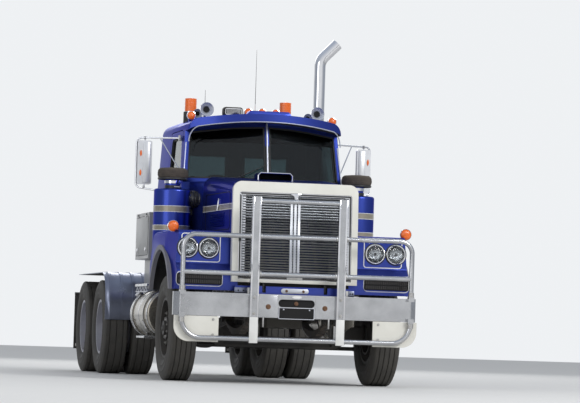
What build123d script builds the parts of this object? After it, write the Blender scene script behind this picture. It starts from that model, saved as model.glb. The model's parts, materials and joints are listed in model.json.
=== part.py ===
from build123d import *
import math
import os

os.makedirs("parts", exist_ok=True)

# Three-axle tractor unit of the bonneted kind, in millimetres. +Z is up, the nose faces -Y and
# the truck's right-hand side is -X. Stations along Y are measured back from the front axle, and
# at the end the whole truck moves so that the middle of its length stands over the origin.

# Fit between pieces
running_gap = 6
pin_gap = 0.4
seat_gap = 0.3

# Running gear
tyre_radius = 525
tyre_width = 280
bead_radius = 290
rim_width = 210
rim_sheet = 10
rim_flange = 9
front_track = 2074
rear_track = 1840
dual_spacing = 320
kingpin_spacing = 1740
bogie_station = 4890
tandem_spread = 1320
axle_height = tyre_radius
rear_stations = [bogie_station - tandem_spread / 2, bogie_station + tandem_spread / 2]
spoke_count = 6
drum_radius = 208
drum_wall = 18

# Chassis rails
rail_spread = 870
rail_depth = 260
rail_flange = 80
rail_web = 9
rail_top = 960
rail_front = -790
rail_rear = 6230
rail_bottom = rail_top - rail_depth
rail_face = rail_spread / 2
member_height = 150
member_width = 90
member_stations = [-700, 2450, 3520, bogie_station, 6120]

# Springs
leaf_thickness = 13
front_spring_x = rail_face - rail_flange / 2
front_spring_width = 76
front_leaf_count = 5
front_spring_half = 630
front_spring_seat = 478
front_spring_rise = 105
spring_eye_radius = 26
spring_eye_pin = 12
spring_eye_stations = (-front_spring_half, front_spring_half)
spring_eye_height = front_spring_seat + front_leaf_count * leaf_thickness + front_spring_rise
rear_spring_x = rail_face + 95
rear_spring_width = 76
rear_spring_half = 520
rear_spring_seat = 625
rear_spring_rise = 55
rear_leaf_count = 6
rear_spring_top = rear_spring_seat + rear_leaf_count * leaf_thickness
rear_tip_top = rear_spring_top + rear_spring_rise
rear_hanger_places = (
    (rear_stations[0] - rear_spring_half, 80),
    (bogie_station, 190),
    (rear_stations[1] + rear_spring_half, 80),
)

# Front axle and steering
beam_bottom = 360
beam_height = 112
beam_width = 96
beam_flat = 600
eye_bottom = 450
eye_top = 600
eye_radius = 46
kingpin_radius = 22
yoke_arm = 40
yoke_radius = 52
yoke_half = 44
yoke_reach = 92
spindle_inner = 42
spindle_outer = 32
track_arm = 220
track_drop = 35
ball_pin = 14
track_tube = 20

# Rear axles, engine and shafts
axle_end = 45
axle_tube = 68
brake_plate = 205
shaft_radius = 52
shaft_front = (0, 1900, 745)
pinion_reach = 230
bell_front = 590
box_front = 900

# Cab
cab_wall = 45
cab_half_width = 850
cab_floor = 1100
cab_rear = 2650
belt_height = 2050
shoulder_height = belt_height - 20
eaves_half_width = 805
eaves_height = 2705
eaves_radius = 120
roof_height = 2772
cowl_front = 650
cowl_half_width = 620
cab_corner_station = 1060
screen_centre = 720
screen_corner = 1000
screen_lean = 15
brow_reach = 15
brow_centre = 2690
brow_side = 2605
brow_end_radius = 120
pane_margin = 42
sign_foot_half = 270
sign_head_half = 205
sign_height = 85
sign_depth = 110
rear_window = ((90, 590), (2110, 2430))

# Doors
door_front = 1100
door_rear = 1990
door_bottom = 1175
door_top = 2600
door_gap = 8
window_front = 1175
window_rear = 1905
window_bottom = 2060
window_top = 2530
glass_thickness = 6
pillar_slope = math.tan(math.radians(screen_lean)) * 1.15
handle_height = 1780

# Door hinges
hinge_x = cab_half_width + 14
hinge_station = door_front - door_gap / 2
hinge_heights = (1290, 1620, 1960)
hinge_barrel = 11
hinge_half = 34
hinge_pin = 5
hinge_leaf = 6

# Mirrors
mirror_x = 1180
mirror_width = 150
mirror_bottom = 2030
mirror_top = 2490
mirror_depth = 56
mirror_tube = 9
loop_x = 1262
loop_station = 1530
loop_top = 2520
loop_bottom = 2000
loop_foot_station = 1300
loop_bend = 60
brace_foot = (cab_half_width - 20, 1150, 2130)

# Bonnet and grille surround
hood_front = -700
hood_rear = 638
hood_bottom = 1085
hood_front_top = 1985
hood_rear_top = 2095
hood_front_half = 622
hood_rear_half = 690
hood_corner = 110
hood_skin = 6
hood_pivot = (-780, 920)
hood_pin = 12
lug_x = 300
lug_plate = 16
ear_x = lug_x + running_gap / 2
scoop_half = 178
scoop_height = 62
scoop_front = 330
scoop_rear = 560
scoop_wall = 9
surround_half = 634
surround_bottom = 1000
surround_top = 2000
surround_front = -800
surround_side = 63
surround_header = 105
surround_foot = 32
surround_lean = 3

# Grille
fin_pitch = 26
fin_depth = 38
fin_thickness = 3
fin_lean = 20
comb_width = 44
comb_strip = 12
tooth_height = 15
tooth_depth = 10
grille_frame = 25
grille_set_back = 12
centre_bar_width = 24
centre_bar_pitch = 38

# Wings and lamps
wing_half = 1220
wing_front_low = 1196
wing_front_high = 1122
wing_top = 1500
wing_bottom = 912
wing_front = -650
wing_chin = -745
wing_rear = 640
wing_skin = 6
wing_swell_station = -250
wing_crown = 50
chin_top = 1100
shelf_top = 1175
arch_radius = 620
arch_height = 690
arch_lip = 50
arch_flare = 12
lamp_height = 1325
lamp_places = (844, 1057)
lamp_bezel = 100
lamp_lens = 84
signal_span = (720, 1172)
signal_heights = (963, 1070)
marker_place = (1186, -515, 1535)
marker_radius = 58

# Bull bar and bumper
bar_pivot = (-860, 500)
bar_pin = 16
ear_plate = 20
bumper_half = 1222
bumper_front = -940
bumper_wrap = -825
bumper_bottom = 655
bumper_top = 885
bumper_sheet = 8
bumper_chamfer = 60
bumper_slot = (182, 762, 838)
centre_plate = (188, 382)
post_spread = 870
post_width = 85
post_bottom = 400
post_top = 1840
post_depth = 50
post_wall = 8
hoop_tube = 24
hoop_inset = 72
hoop_half = bumper_half - hoop_inset
hoop_top = 1450
hoop_middle = 1080
hoop_low = 440
hoop_bend = 120
low_bend = 190
corner_plate_width = 447
corner_plate_bottom = 400
corner_plate_corner = 150
bracket_plate = 20
bracket_x = post_spread / 2 - post_width / 2 - bracket_plate - running_gap - 12

# Apron in front of the rails, and the stands that carry the cab
apron_reach = 34
apron_sheet = 8
apron_half = 600
apron_bottom = rail_top - 95
apron_top = rail_top + 4
apron_slot_gap = 10
cab_stand_overhang = 40
cab_stand_stations = [cab_corner_station + 150, cab_rear - 150]

# Air cleaners
cleaner_x = 975
cleaner_station = 870
cleaner_radius = 190
cleaner_bottom = 1300
cleaner_top = 1963
cleaner_neck = 75
cap_radius = 155
cap_bottom = 2070
cap_top = 2175
duct_radius = 70
duct_height = 1865
cleaner_arms = (1500, 1700)

# Roof equipment
marker_lamps = ((-754, 2753), (-146, 2812), (0, 2814), (146, 2812), (754, 2753))
marker_lamp_station = 1150
marker_lamp_radius = 45
beacon_places = (-700, 320)
beacon_station = 1520
beacon_radius = 62
beacon_top = 2955
horn_stands = (-592, 592)
horn_station = 1140
horn_tube = 16

# Exhaust
stack_x = 955
stack_station = 2800
stack_radius = 63
stack_wall = 4
stack_top = 3725
stack_turn = 190
stack_bend = 160
silencer_radius = 120
silencer_bottom = 1320
silencer_top = 2300

# Fuel tanks and steps
tank_x = 930
tank_height = 670
tank_radius = 250
tank_front = 1000
tank_rear = 2120
strap_width = 60
strap_stations = (tank_front + 200, tank_rear - 200)
step_top = tank_height + tank_radius + 62
step_sheet = 28
low_step_height = 437
low_step_sheet = 22

# Mudguards and flaps
guard_top = 1135
guard_inner = 600
guard_foot = 607
guard_sheet = 6
guard_rib = 9
guard_bend = 300
guard_front = rear_stations[0] - 530
guard_rear = rear_stations[1] + 350
rib_count = 5
rib_pitch = 127
stay_stations = [bogie_station + offset for offset in (-930, -330, 330, 930)]
stay_height = 905
flap_span = (625, 1215)
flap_bottom = 260

# Coupling
coupling_station = bogie_station - 120
coupling_height = 1230
coupling_plate = 45
coupling_half = 460
coupling_horn = 230
jaw_radius = 25.5
jaw_slit = 30
jaw_mouth = 110

# Locker, air tanks and tail lamps
locker_front = 2790
locker_rear = 3690
locker_bottom = 1280
locker_top = 1790
locker_half = 775
air_tank = (250, 780, 120)
air_tank_span = (2600, 3400)
tail_depth = 45

# Steering wheel and seats
wheel_x = -400
wheel_centre = (wheel_x, 1600, 1965)
wheel_rim = 240
column_way = Vector(0, 170, 150).normalized()
seat_places = (-400, 400)


# A box between two limits along X, Y and Z.
def block(x, y, z):
    size = [abs(b - a) for a, b in (x, y, z)]
    middle = [(a + b) / 2 for a, b in (x, y, z)]
    return Pos(*middle) * Box(*size)


# A round bar from one point to another.
def bar(start, end, radius):
    start = Vector(*start)
    axis = Vector(*end) - start
    column = Cylinder(radius, axis.length, align=(Align.CENTER, Align.CENTER, Align.MIN))
    return Plane(origin=start, z_dir=axis) * column


# A tube or ring from one point to another.
def ring(start, end, outer, inner):
    return bar(start, end, outer) - bar(start, end, inner)


# A bent tube with equal bends.
def bent_tube(points, bend, radius, bore=0):
    path = FilletPolyline(*points, radius=bend)
    section = Circle(radius)
    if bore:
        section -= Circle(bore)
    return sweep(Plane(origin=path @ 0, z_dir=path % 0) * section, path=path)


# A flat face from corners (u, v) or rounded corners (u, v, radius).
def rounded(*corners):
    sketch = make_face(Polyline(*[corner[:2] for corner in corners], close=True))
    for corner in corners:
        if len(corner) == 3:
            nearest = sketch.vertices().sort_by_distance(Vector(corner[0], corner[1]))[0]
            sketch = fillet(nearest, corner[2])
    return sketch


# A strip between two arcs about one centre, with angles in degrees.
def arc_strip(centre, inner, outer, start, end):
    sweep_angle = end - start
    near = CenterArc(centre, inner, start, sweep_angle)
    far = CenterArc(centre, outer, start, sweep_angle)
    edges = [near, far, Line(near @ 0, far @ 0), Line(near @ 1, far @ 1)]
    return make_face(edges)


# Prisms of a side-view, front-view and plan-view outline.
def across(outline, x0, x1):
    return extrude(Plane.YZ.offset(x0) * outline, x1 - x0)


def lengthwise(outline, y0, y1):
    return extrude(Plane.XZ.offset(-y0) * outline, y1 - y0, dir=(0, 1, 0))


def upright(outline, z0, z1):
    return extrude(Plane.XY.offset(z0) * outline, z1 - z0)


# A piece with its mirror image on the other side of the truck.
def both_sides(piece):
    return [piece, mirror(piece, Plane.YZ)]


# All pieces fused into one body.
def joined(pieces):
    return pieces[0] + list(pieces[1:])


# Chassis rails are C channels that open inwards, bolted to their cross members and brackets.
def make_rail(side):
    rail = block((rail_face - rail_flange, rail_face), (rail_front, rail_rear), (rail_bottom, rail_top))
    rail -= block(
        (rail_face - rail_flange, rail_face - rail_web),
        (rail_front, rail_rear),
        (rail_bottom + rail_web, rail_top - rail_web),
    )
    return rail if side > 0 else mirror(rail, Plane.YZ)


def make_member(station):
    middle = (rail_bottom + rail_top) / 2
    half = member_width / 2
    rise = member_height / 2
    member = block(
        (-rail_face + rail_web, rail_face - rail_web),
        (station - half, station + half),
        (middle - rise, middle + rise),
    )
    return member - block(
        (-rail_face, rail_face),
        (station - half + rail_web, station + half),
        (middle - rise + rail_web, middle + rise - rail_web),
    )


# The apron closes the front between the rails and the grille, with a slot for each bonnet ear.
def make_apron():
    front = rail_front - apron_reach
    apron = block((-apron_half, apron_half), (front - apron_sheet, front), (apron_bottom, apron_top))
    for side in (-1, 1):
        near, far = sorted((side * rail_face, side * (rail_face - rail_flange)))
        apron += block((near, far), (front, rail_front), (apron_bottom, rail_top))
        near, far = sorted((side * (ear_x - apron_slot_gap), side * (ear_x + lug_plate + apron_slot_gap)))
        apron -= block((near, far), (front - 50, front), (hood_pivot[1] - 20, apron_top + 1))
    return apron


def make_frame():
    rails = [make_rail(side) for side in (-1, 1)]
    members = [make_member(station) for station in member_stations]
    pieces = rails + members + [make_apron()]
    for side, rail in zip((-1, 1), rails):
        pieces.append(bar_bracket(side) - rail)
        pieces.append(hood_lug(side))
        pieces += [spring_hanger(side, station) for station in spring_eye_stations]
        pieces += [rear_hanger(side, station, half) for station, half in rear_hanger_places]
        near, far = sorted((side * (rail_face - rail_flange), side * (rail_face + cab_stand_overhang)))
        for station in cab_stand_stations:
            pieces.append(
                block((near, far), (station - 60, station + 60), (rail_top, cab_floor))
            )
    return pieces


# The bull bar folds on a pin that each front bracket holds.


def bar_bracket(side):
    outline = rounded(
        (bar_pivot[0] - 32, bar_pivot[1] - 32, 30),
        (bar_pivot[0] + 32, bar_pivot[1] - 32, 30),
        (rail_front + 100, rail_bottom - 40),
        (rail_front + 100, rail_bottom + 60),
        (rail_front - 30, rail_bottom + 60),
        (bar_pivot[0] - 32, bar_pivot[1] + 60, 20),
    )
    plate = across(outline, bracket_x, bracket_x + bracket_plate)
    shelf = block(
        (bracket_x, rail_face - rail_web),
        (rail_front, rail_front + 100),
        (rail_bottom + rail_web, rail_bottom + 60),
    )
    pin = bar(
        (bracket_x, *bar_pivot),
        (bracket_x + bracket_plate + running_gap + ear_plate + 10, *bar_pivot),
        bar_pin,
    )
    piece = plate + shelf + pin
    if side < 0:
        piece = mirror(piece, Plane.YZ)
    return piece


# Lugs on the front cross member carry the bonnet's hinge pins.
def hood_lug(side):
    member_face = member_stations[0] - member_width / 2
    outline = rounded(
        (hood_pivot[0] - 22, hood_pivot[1] - 22),
        (member_face, rail_top - 160),
        (member_face, rail_top - 60),
        (hood_pivot[0] + 22, hood_pivot[1] + 22, 18),
        (hood_pivot[0] - 22, hood_pivot[1] + 22, 18),
    )
    plate = across(outline, lug_x - lug_plate, lug_x)
    pin = bar((lug_x - lug_plate, *hood_pivot), (lug_x + lug_plate + running_gap, *hood_pivot), hood_pin)
    piece = plate + pin
    if side < 0:
        piece = mirror(piece, Plane.YZ)
    return piece


# Front leaf springs lie under the rails, with an eye at each end.


def spring_hanger(side, station):
    height = spring_eye_height
    cheek = 28
    half = 40
    near = front_spring_width / 2 + seat_gap
    piece = block((-cheek / 2, cheek / 2), (station - half, station + half), (height - half, rail_bottom))
    cheeks = [Pos(offset * (near + cheek / 2), 0, 0) * piece for offset in (-1, 1)]
    pin = bar((-near, station, height), (near, station, height), spring_eye_pin)
    reach = near + cheek
    cap = block((-reach, reach), (station - half, station + half), (rail_bottom - cheek / 2, rail_bottom))
    return Pos(side * front_spring_x, 0, 0) * joined([*cheeks, pin, cap])


# Rear springs lie outside the rails, and their tips slide under cast hangers.


def rear_hanger(side, station, half_width):
    outline = rounded(
        (station - half_width, rear_tip_top, 10),
        (station + half_width, rear_tip_top, 10),
        (station + 60, rail_top - 30, 20),
        (station - 60, rail_top - 30, 20),
    )
    piece = across(outline, rail_face, rear_spring_x + rear_spring_width / 2)
    if side < 0:
        piece = mirror(piece, Plane.YZ)
    return piece


# One leaf pack, drawn in the side view about the middle of its axle.
def leaf_pack(half_length, rise, seat, count, x, width):
    radius = (half_length ** 2 + rise ** 2) / (2 * rise)
    top = seat + count * leaf_thickness
    pack = None
    for index in range(count):
        outer = radius + (index + 1) * leaf_thickness
        inner = radius + index * leaf_thickness
        reach = math.degrees(math.asin(half_length * (1 - index / (count + 1)) / radius))
        strip = arc_strip((0, top + radius), inner, outer, 270 - reach, 270 + reach)
        leaf = across(strip, x - width / 2, x + width / 2)
        pack = leaf if pack is None else pack + leaf
    return pack


def make_suspension():
    front = leaf_pack(
        front_spring_half,
        front_spring_rise,
        front_spring_seat,
        front_leaf_count,
        front_spring_x,
        front_spring_width,
    )
    for station in spring_eye_stations:
        half = front_spring_width / 2
        ends = [(front_spring_x + offset * half, station, spring_eye_height) for offset in (-1, 1)]
        front += bar(*ends, spring_eye_radius)
        front -= bar(*ends, spring_eye_pin + seat_gap)
    pieces = both_sides(front)
    for station in rear_stations:
        pack = leaf_pack(
            rear_spring_half,
            rear_spring_rise,
            rear_spring_seat,
            rear_leaf_count,
            rear_spring_x,
            rear_spring_width,
        )
        x = rear_spring_x
        clamp = block((x - 55, x + 55), (-80, 80), (rear_spring_top, rear_spring_top + 22))
        pieces += both_sides(Pos(0, station, 0) * (pack + clamp))
    return pieces


# The front axle is a forged I beam with a dropped middle and an eye at each kingpin.


def make_front_axle():
    kingpin = kingpin_spacing / 2
    top = beam_bottom + beam_height
    outline = rounded(
        (-kingpin, eye_bottom + 10),
        (-kingpin, eye_top - 10),
        (-kingpin + 90, eye_top - 10, 40),
        (-beam_flat, top, 40),
        (beam_flat, top, 40),
        (kingpin - 90, eye_top - 10, 40),
        (kingpin, eye_top - 10),
        (kingpin, eye_bottom + 10),
        (kingpin - 90, eye_bottom + 10, 40),
        (beam_flat, beam_bottom, 40),
        (-beam_flat, beam_bottom, 40),
        (-kingpin + 90, eye_bottom + 10, 40),
    )
    beam = lengthwise(outline, -beam_width / 2, beam_width / 2)
    flange = 22
    web = 14
    end = beam_flat - 40
    pocket = rounded(
        (-end, beam_bottom + flange), (-end, top - flange), (end, top - flange), (end, beam_bottom + flange)
    )
    for near, far in ((-beam_width / 2, -web), (web, beam_width / 2)):
        beam -= lengthwise(pocket, near, far)
    reach = yoke_arm + running_gap
    for side in (-1, 1):
        x = side * kingpin
        seat = side * front_spring_x
        beam += bar((x, 0, eye_bottom), (x, 0, eye_top), eye_radius)
        beam += bar((x, 0, eye_bottom - reach), (x, 0, eye_top + reach), kingpin_radius)
        beam += block((seat - 50, seat + 50), (-75, 75), (top, front_spring_seat))
    return beam


# A steering knuckle: two arms round the kingpin, a web, the stub axle and the track-rod arm.


def make_knuckle(side):
    kingpin = kingpin_spacing / 2
    shoulder = front_track / 2 - 20
    lower = (eye_bottom - running_gap - yoke_arm, eye_bottom - running_gap)
    upper = (eye_top + running_gap, eye_top + running_gap + yoke_arm)
    web = (kingpin + yoke_reach - 36, kingpin + yoke_reach)
    piece = block(web, (-yoke_half, yoke_half), (lower[0], upper[1]))
    for near, far in (lower, upper):
        piece += bar((kingpin, 0, near), (kingpin, 0, far), yoke_radius)
        piece += block((kingpin, kingpin + yoke_reach), (-yoke_half, yoke_half), (near, far))
    piece += bar((kingpin + 90, 0, axle_height), (shoulder, 0, axle_height), spindle_inner)
    piece += bar((shoulder, 0, axle_height), (shoulder + 115, 0, axle_height), spindle_outer)
    arm_end = track_arm + 30
    arm_outline = rounded(
        (kingpin - 24, 30), (kingpin + 24, 30), (kingpin + 20, arm_end, 18), (kingpin - 20, arm_end, 18)
    )
    piece += upright(arm_outline, lower[0], lower[0] + 24)
    piece += bar((kingpin, track_arm, lower[0]), (kingpin, track_arm, lower[0] - 60), ball_pin)
    piece -= bar((kingpin, 0, eye_bottom - 100), (kingpin, 0, eye_top + 100), kingpin_radius + pin_gap)
    if side < 0:
        piece = mirror(piece, Plane.YZ)
    return piece


def make_track_rod():
    kingpin = kingpin_spacing / 2
    height = eye_bottom - running_gap - yoke_arm - track_drop
    rod = bar((-kingpin + 30, track_arm, height), (kingpin - 30, track_arm, height), track_tube)
    for side in (-1, 1):
        x = side * kingpin
        rod += bar((x, track_arm, height - 22), (x, track_arm, height + 22), track_tube + 12)
        rod -= bar((x, track_arm, height - 60), (x, track_arm, height + 60), ball_pin + pin_gap)
    return rod


# Tyres and wheels are drawn about their own axle line, with the outer face towards +X.
def tyre_at(x):
    half = tyre_width / 2
    bead = rim_width / 2
    outline = rounded(
        (x - bead, bead_radius),
        (x - bead, bead_radius + 22),
        (x - half, bead_radius + 80),
        (x - half, tyre_radius - 70),
        (x - half + 24, tyre_radius),
        (x + half - 24, tyre_radius),
        (x + half, tyre_radius - 70),
        (x + half, bead_radius + 80),
        (x + bead, bead_radius + 22),
        (x + bead, bead_radius),
    )
    return revolve(Plane.XZ * outline, Axis.X)


def rim_at(x):
    bead = rim_width / 2
    flange = bead + rim_flange
    outline = rounded(
        (x - flange, bead_radius - rim_sheet),
        (x - flange, bead_radius + 16),
        (x - bead, bead_radius + 16),
        (x - bead, bead_radius),
        (x + bead, bead_radius),
        (x + bead, bead_radius + 16),
        (x + flange, bead_radius + 16),
        (x + flange, bead_radius - rim_sheet),
    )
    return revolve(Plane.XZ * outline, Axis.X)


# Cast spokes widen towards the hub.
def spider(x0, x1, rim_radius):
    outline = rounded((-52, 60), (52, 60), (38, rim_radius + 2), (-38, rim_radius + 2))
    spoke = across(outline, x0, x1)
    return joined([Rot(360 / spoke_count * index, 0, 0) * spoke for index in range(spoke_count)])


# A brake drum with its back plate, from the open end to the plate.
def drum(near, far, bore):
    plate = 20
    wall = ring((near, 0, 0), (far, 0, 0), drum_radius, drum_radius - drum_wall)
    return wall + ring((far - plate, 0, 0), (far, 0, 0), drum_radius, bore)


def front_wheel():
    wheel = rim_at(0) + spider(-5, 55, bead_radius - rim_sheet)
    wheel += bar((-68, 0, 0), (105, 0, 0), 108)
    wheel += bar((105, 0, 0), (132, 0, 0), 72)
    wheel += drum(-118, -25, spindle_inner + 18)
    wheel -= bar((-160, 0, 0), (-20, 0, 0), spindle_inner + pin_gap)
    wheel -= bar((-30, 0, 0), (100, 0, 0), spindle_outer + pin_gap)
    return wheel


def rear_wheel():
    inner_radius = bead_radius - rim_sheet - 6
    reach = dual_spacing / 2
    spacer = dual_spacing / 2 - rim_width / 2 - rim_flange
    wheel = rim_at(-reach) + rim_at(reach)
    wheel += ring((-spacer, 0, 0), (spacer, 0, 0), bead_radius - 2, inner_radius)
    wheel += spider(-30, 45, inner_radius)
    wheel += bar((-120, 0, 0), (150, 0, 0), 118)
    wheel += bar((150, 0, 0), (205, 0, 0), 88)
    wheel += drum(-305, -70, axle_end + 35)
    wheel -= bar((-260, 0, 0), (150, 0, 0), axle_end + pin_gap)
    return wheel


# Rear axles: tube, round differential housing and brake back plates.


def make_rear_axles():
    pieces = []
    height = axle_height
    end = rear_track / 2 + 145
    plate = end - 475
    for station in rear_stations:
        face = station - 120
        axle = bar((-plate, station, height), (plate, station, height), axle_tube)
        axle += bar((-end, station, height), (end, station, height), axle_end)
        axle += bar((0, face, height), (0, station + 95, height), 205)
        axle += Plane(origin=(0, face, height), z_dir=(0, -1, 0)) * Pos(0, 0, 55) * Cone(150, 70, 110)
        for side in (-1, 1):
            axle += bar((side * plate, station, height), (side * (plate + 16), station, height), brake_plate)
            x = side * rear_spring_x
            axle += block((x - 50, x + 50), (station - 80, station + 80), (height, rear_spring_seat))
        pieces.append(axle)
    return pieces


# Engine: block, sump, head and three rocker covers as half width, front, rear, bottom and top.
engine_parts = (
    (230, -400, bell_front, 700, 1290),
    (180, -360, bell_front - 40, 560, 700),
    (190, -380, bell_front - 20, 1290, 1430),
    (150, -360, -70, 1430, 1530),
    (150, -50, 240, 1430, 1530),
    (150, 260, 550, 1430, 1530),
    (rail_face - rail_web, -200, -120, 720, 800),
)


def make_engine():
    engine = joined([
        block((-half, half), (front, rear), (low, high))
        for half, front, rear, low, high in engine_parts
    ])
    engine += bar((0, -400, 1130), (0, -480, 1130), 60)
    engine += bar((0, -450, 1130), (0, -465, 1130), 300)
    return engine


def make_radiator():
    core = block((-520, 520), (-650, -560), (rail_top, 1700))
    tank = block((-500, 500), (-640, -565), (1700, 1800))
    return core + tank


# Gearbox with its bell housing and cross beam, and the two propeller shafts.
def make_driveline():
    bell_length = box_front - bell_front
    rear_face = shaft_front[1] - 120
    bell = Plane(origin=(0, bell_front, 840), z_dir=(0, 1, 0)) * Pos(0, 0, bell_length / 2)
    box = block((-170, 170), (box_front, rear_face), (640, 1010))
    box += bell * Cone(250, 170, bell_length)
    box += bar((0, rear_face, shaft_front[2]), shaft_front, 70)
    beam = rail_face - rail_web
    box += block((-beam, beam), (1500, 1580), (720, 790))
    first_end = (0, rear_stations[0] - pinion_reach + 10, axle_height)
    second_start = (0, rear_stations[0] + 95, axle_height)
    second_end = (0, rear_stations[1] - pinion_reach, axle_height)
    first = bar(shaft_front, first_end, shaft_radius)
    second = bar(second_start, second_end, shaft_radius)
    return [box, first - box - rear_axles[0], second]


# The cab seen from the front, with an arched roof. The inset moves every face inwards.
def cab_section(inset):
    half = cab_half_width - inset
    eaves = eaves_half_width - inset
    top = eaves_height - inset
    roof = ThreePointArc((-eaves, top), (0, roof_height - inset), (eaves, top))
    walls = Polyline(
        (eaves, top),
        (half, shoulder_height),
        (half, cab_floor + inset),
        (-half, cab_floor + inset),
        (-half, shoulder_height),
        (-eaves, top),
    )
    section = make_face([roof, walls])
    return fillet(section.vertices().group_by(Axis.Y)[-1], eaves_radius - inset)


# The cab's outer form: the cowl tapers forwards below the belt, and the brow curves above it.
def cab_form(inset):
    half = cab_half_width - inset
    rear = cab_rear - inset
    tube = lengthwise(cab_section(inset), cowl_front - 50, rear)
    low = rounded(
        (-cowl_half_width + inset / 3, cowl_front + inset),
        (cowl_half_width - inset / 3, cowl_front + inset),
        (half, cab_corner_station + inset / 3),
        (half, rear),
        (-half, rear),
        (-half, cab_corner_station + inset / 3),
    )
    corner = screen_corner - brow_reach + inset
    brow = ThreePointArc((-half, corner), (0, screen_centre - brow_reach + inset), (half, corner))
    back = Polyline((half, corner), (half, rear), (-half, rear), (-half, corner))
    high = make_face([brow, back])
    form = (tube & upright(low, cab_floor + inset, belt_height - inset)) + (
        tube & upright(high, belt_height - inset - 1, roof_height)
    )
    if not inset:
        upper = form.edges().filter_by(Axis.X, reverse=True).group_by(Axis.Y)[-1]
        form = fillet([edge for edge in upper if edge.center().Z > belt_height], 55)
    return form


# The plane of one windscreen pane, with its normal facing forwards.
def screen_plane(side, depth=0):
    base = Vector(0, screen_centre, belt_height)
    corner = Vector(side * cab_half_width, screen_corner, belt_height)
    along = (corner - base).normalized() * side
    normal = along.cross(Vector(0, 0, 1)).normalized()
    leaning = Plane(origin=base, x_dir=along, z_dir=normal).rotated((-screen_lean, 0, 0))
    return leaning.offset(-depth)


# The space in front of a pane, below the arched brow.
def screen_recess(side, depth, margin):
    plane = screen_plane(side, depth)
    slab = plane * Pos(0, 400, 250) * Box(2600, 1600, 500)
    half = cab_half_width
    brow = ThreePointArc((-half, brow_side - margin), (0, brow_centre - margin), (half, brow_side - margin))
    foot = belt_height + margin
    sides = Polyline((half, brow_side - margin), (half, foot), (-half, foot), (-half, brow_side - margin))
    arch = make_face([brow, sides])
    arch = fillet(arch.vertices().group_by(Axis.Y)[-1], brow_end_radius - margin)
    near = 0
    if margin:
        arch = arch & cab_section(margin)
        near = margin / 2
    space = lengthwise(arch, cowl_front - 100, cab_rear)
    part = block((near, half), (cowl_front - 100, screen_corner + 300), (belt_height, roof_height))
    if side < 0:
        part = mirror(part, Plane.YZ)
    return slab & space & part


def pane(side, depth, thickness):
    plane = screen_plane(side, depth + thickness)
    slab = plane * Pos(0, 400, thickness / 2) * Box(2600, 1600, thickness)
    return slab & screen_recess(side, 300, pane_margin)


# The front pillar leans back with the windscreen, and so do the door and its window.


def window_outline(margin):
    lean = pillar_slope * (window_top - window_bottom)
    return rounded(
        (window_front - margin, window_bottom - margin, 40),
        (window_rear + margin, window_bottom - margin, 40),
        (window_rear + margin, window_top + margin, 60),
        (window_front - margin + lean, window_top + margin, 60),
    )


def door_outline(margin):
    lean = pillar_slope * (door_top - belt_height)
    return rounded(
        (door_front - margin, door_bottom - margin, 30),
        (door_rear + margin, door_bottom - margin, 30),
        (door_rear + margin, door_top + margin, 70),
        (door_front - margin + lean, door_top + margin, 70),
        (door_front - margin, belt_height),
    )


# A blank sign board stands on the front of the roof.
def roof_sign():
    outline = rounded(
        (-sign_foot_half, brow_centre + 30),
        (-sign_head_half, brow_centre + 30 + sign_height, 25),
        (sign_head_half, brow_centre + 30 + sign_height, 25),
        (sign_foot_half, brow_centre + 30),
    )
    front = screen_centre + brow_reach + 15
    return lengthwise(outline, front, front + sign_depth)


def make_cab():
    outer = cab_form(0)
    inner = cab_form(cab_wall)
    for side in (-1, 1):
        outer -= screen_recess(side, 0, 0)
    hollow = inner
    for side in (-1, 1):
        plane = screen_plane(side, cab_wall)
        ahead = plane * Pos(0, 400, 250) * Box(2600, 1600, 500)
        half = block((0, 1200 * side), (600, 1800), (belt_height - cab_wall, roof_height + 50))
        hollow -= ahead & half
    wall = outer - hollow
    shell = wall + (roof_sign() - outer)
    for side in (-1, 1):
        shell -= pane(side, -50, 300)
        near, far = sorted((side * 500, side * 1000))
        shell -= across(door_outline(door_gap), near, far)
        (x0, x1), (z0, z1) = rear_window
        x0, x1 = sorted((side * x0, side * x1))
        shell -= block((x0, x1), (cab_rear - 200, cab_rear + 50), (z0, z1))
        for height in hinge_heights:
            shell += hinge_piece(side, height, False)
    return outer, hollow, wall, shell


def make_cab_glass():
    pieces = []
    for side in (-1, 1):
        pieces.append(pane(side, 14, glass_thickness))
        (x0, x1), (z0, z1) = rear_window
        x0, x1 = sorted((side * x0, side * x1))
        pieces.append(block((x0, x1), (cab_rear - 30, cab_rear - 30 + glass_thickness), (z0, z1)))
    return pieces


def make_door(side, wall):
    near, far = sorted((side * 500, side * 1000))
    door = wall & across(door_outline(0), near, far)
    door -= across(window_outline(0), near, far)
    for height in hinge_heights:
        door += hinge_piece(side, height, True)
    skin = cab_half_width
    handle_rear = door_rear - 50
    handle = block((skin, skin + 26), (handle_rear - 140, handle_rear), (handle_height, handle_height + 24))
    grip = (handle_rear - 120, handle_rear - 20)
    handle -= block((skin + 1, skin + 18), grip, (handle_height - 1, handle_height + 25))
    if side < 0:
        handle = mirror(handle, Plane.YZ)
    return door + handle


# The glass follows the wall's slope above the belt.
def make_door_glass(side):
    near, far = sorted((side * 500, side * 1000))
    foot = 22
    top = window_top + 100
    rise = top - shoulder_height
    fall = (cab_half_width - eaves_half_width) / (eaves_height - shoulder_height) * rise
    outer = cab_half_width - foot
    inner = outer - glass_thickness
    outline = rounded(
        (outer, shoulder_height),
        (outer - fall, top),
        (inner - fall, top),
        (inner, shoulder_height),
    )
    sheet = lengthwise(outline, window_front - 50, window_rear + 50)
    if side < 0:
        sheet = mirror(sheet, Plane.YZ)
    return sheet & across(window_outline(0), near, far)


# West-coast mirror: a tube loop on the door with a tall head on a stem between its arms.


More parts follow.
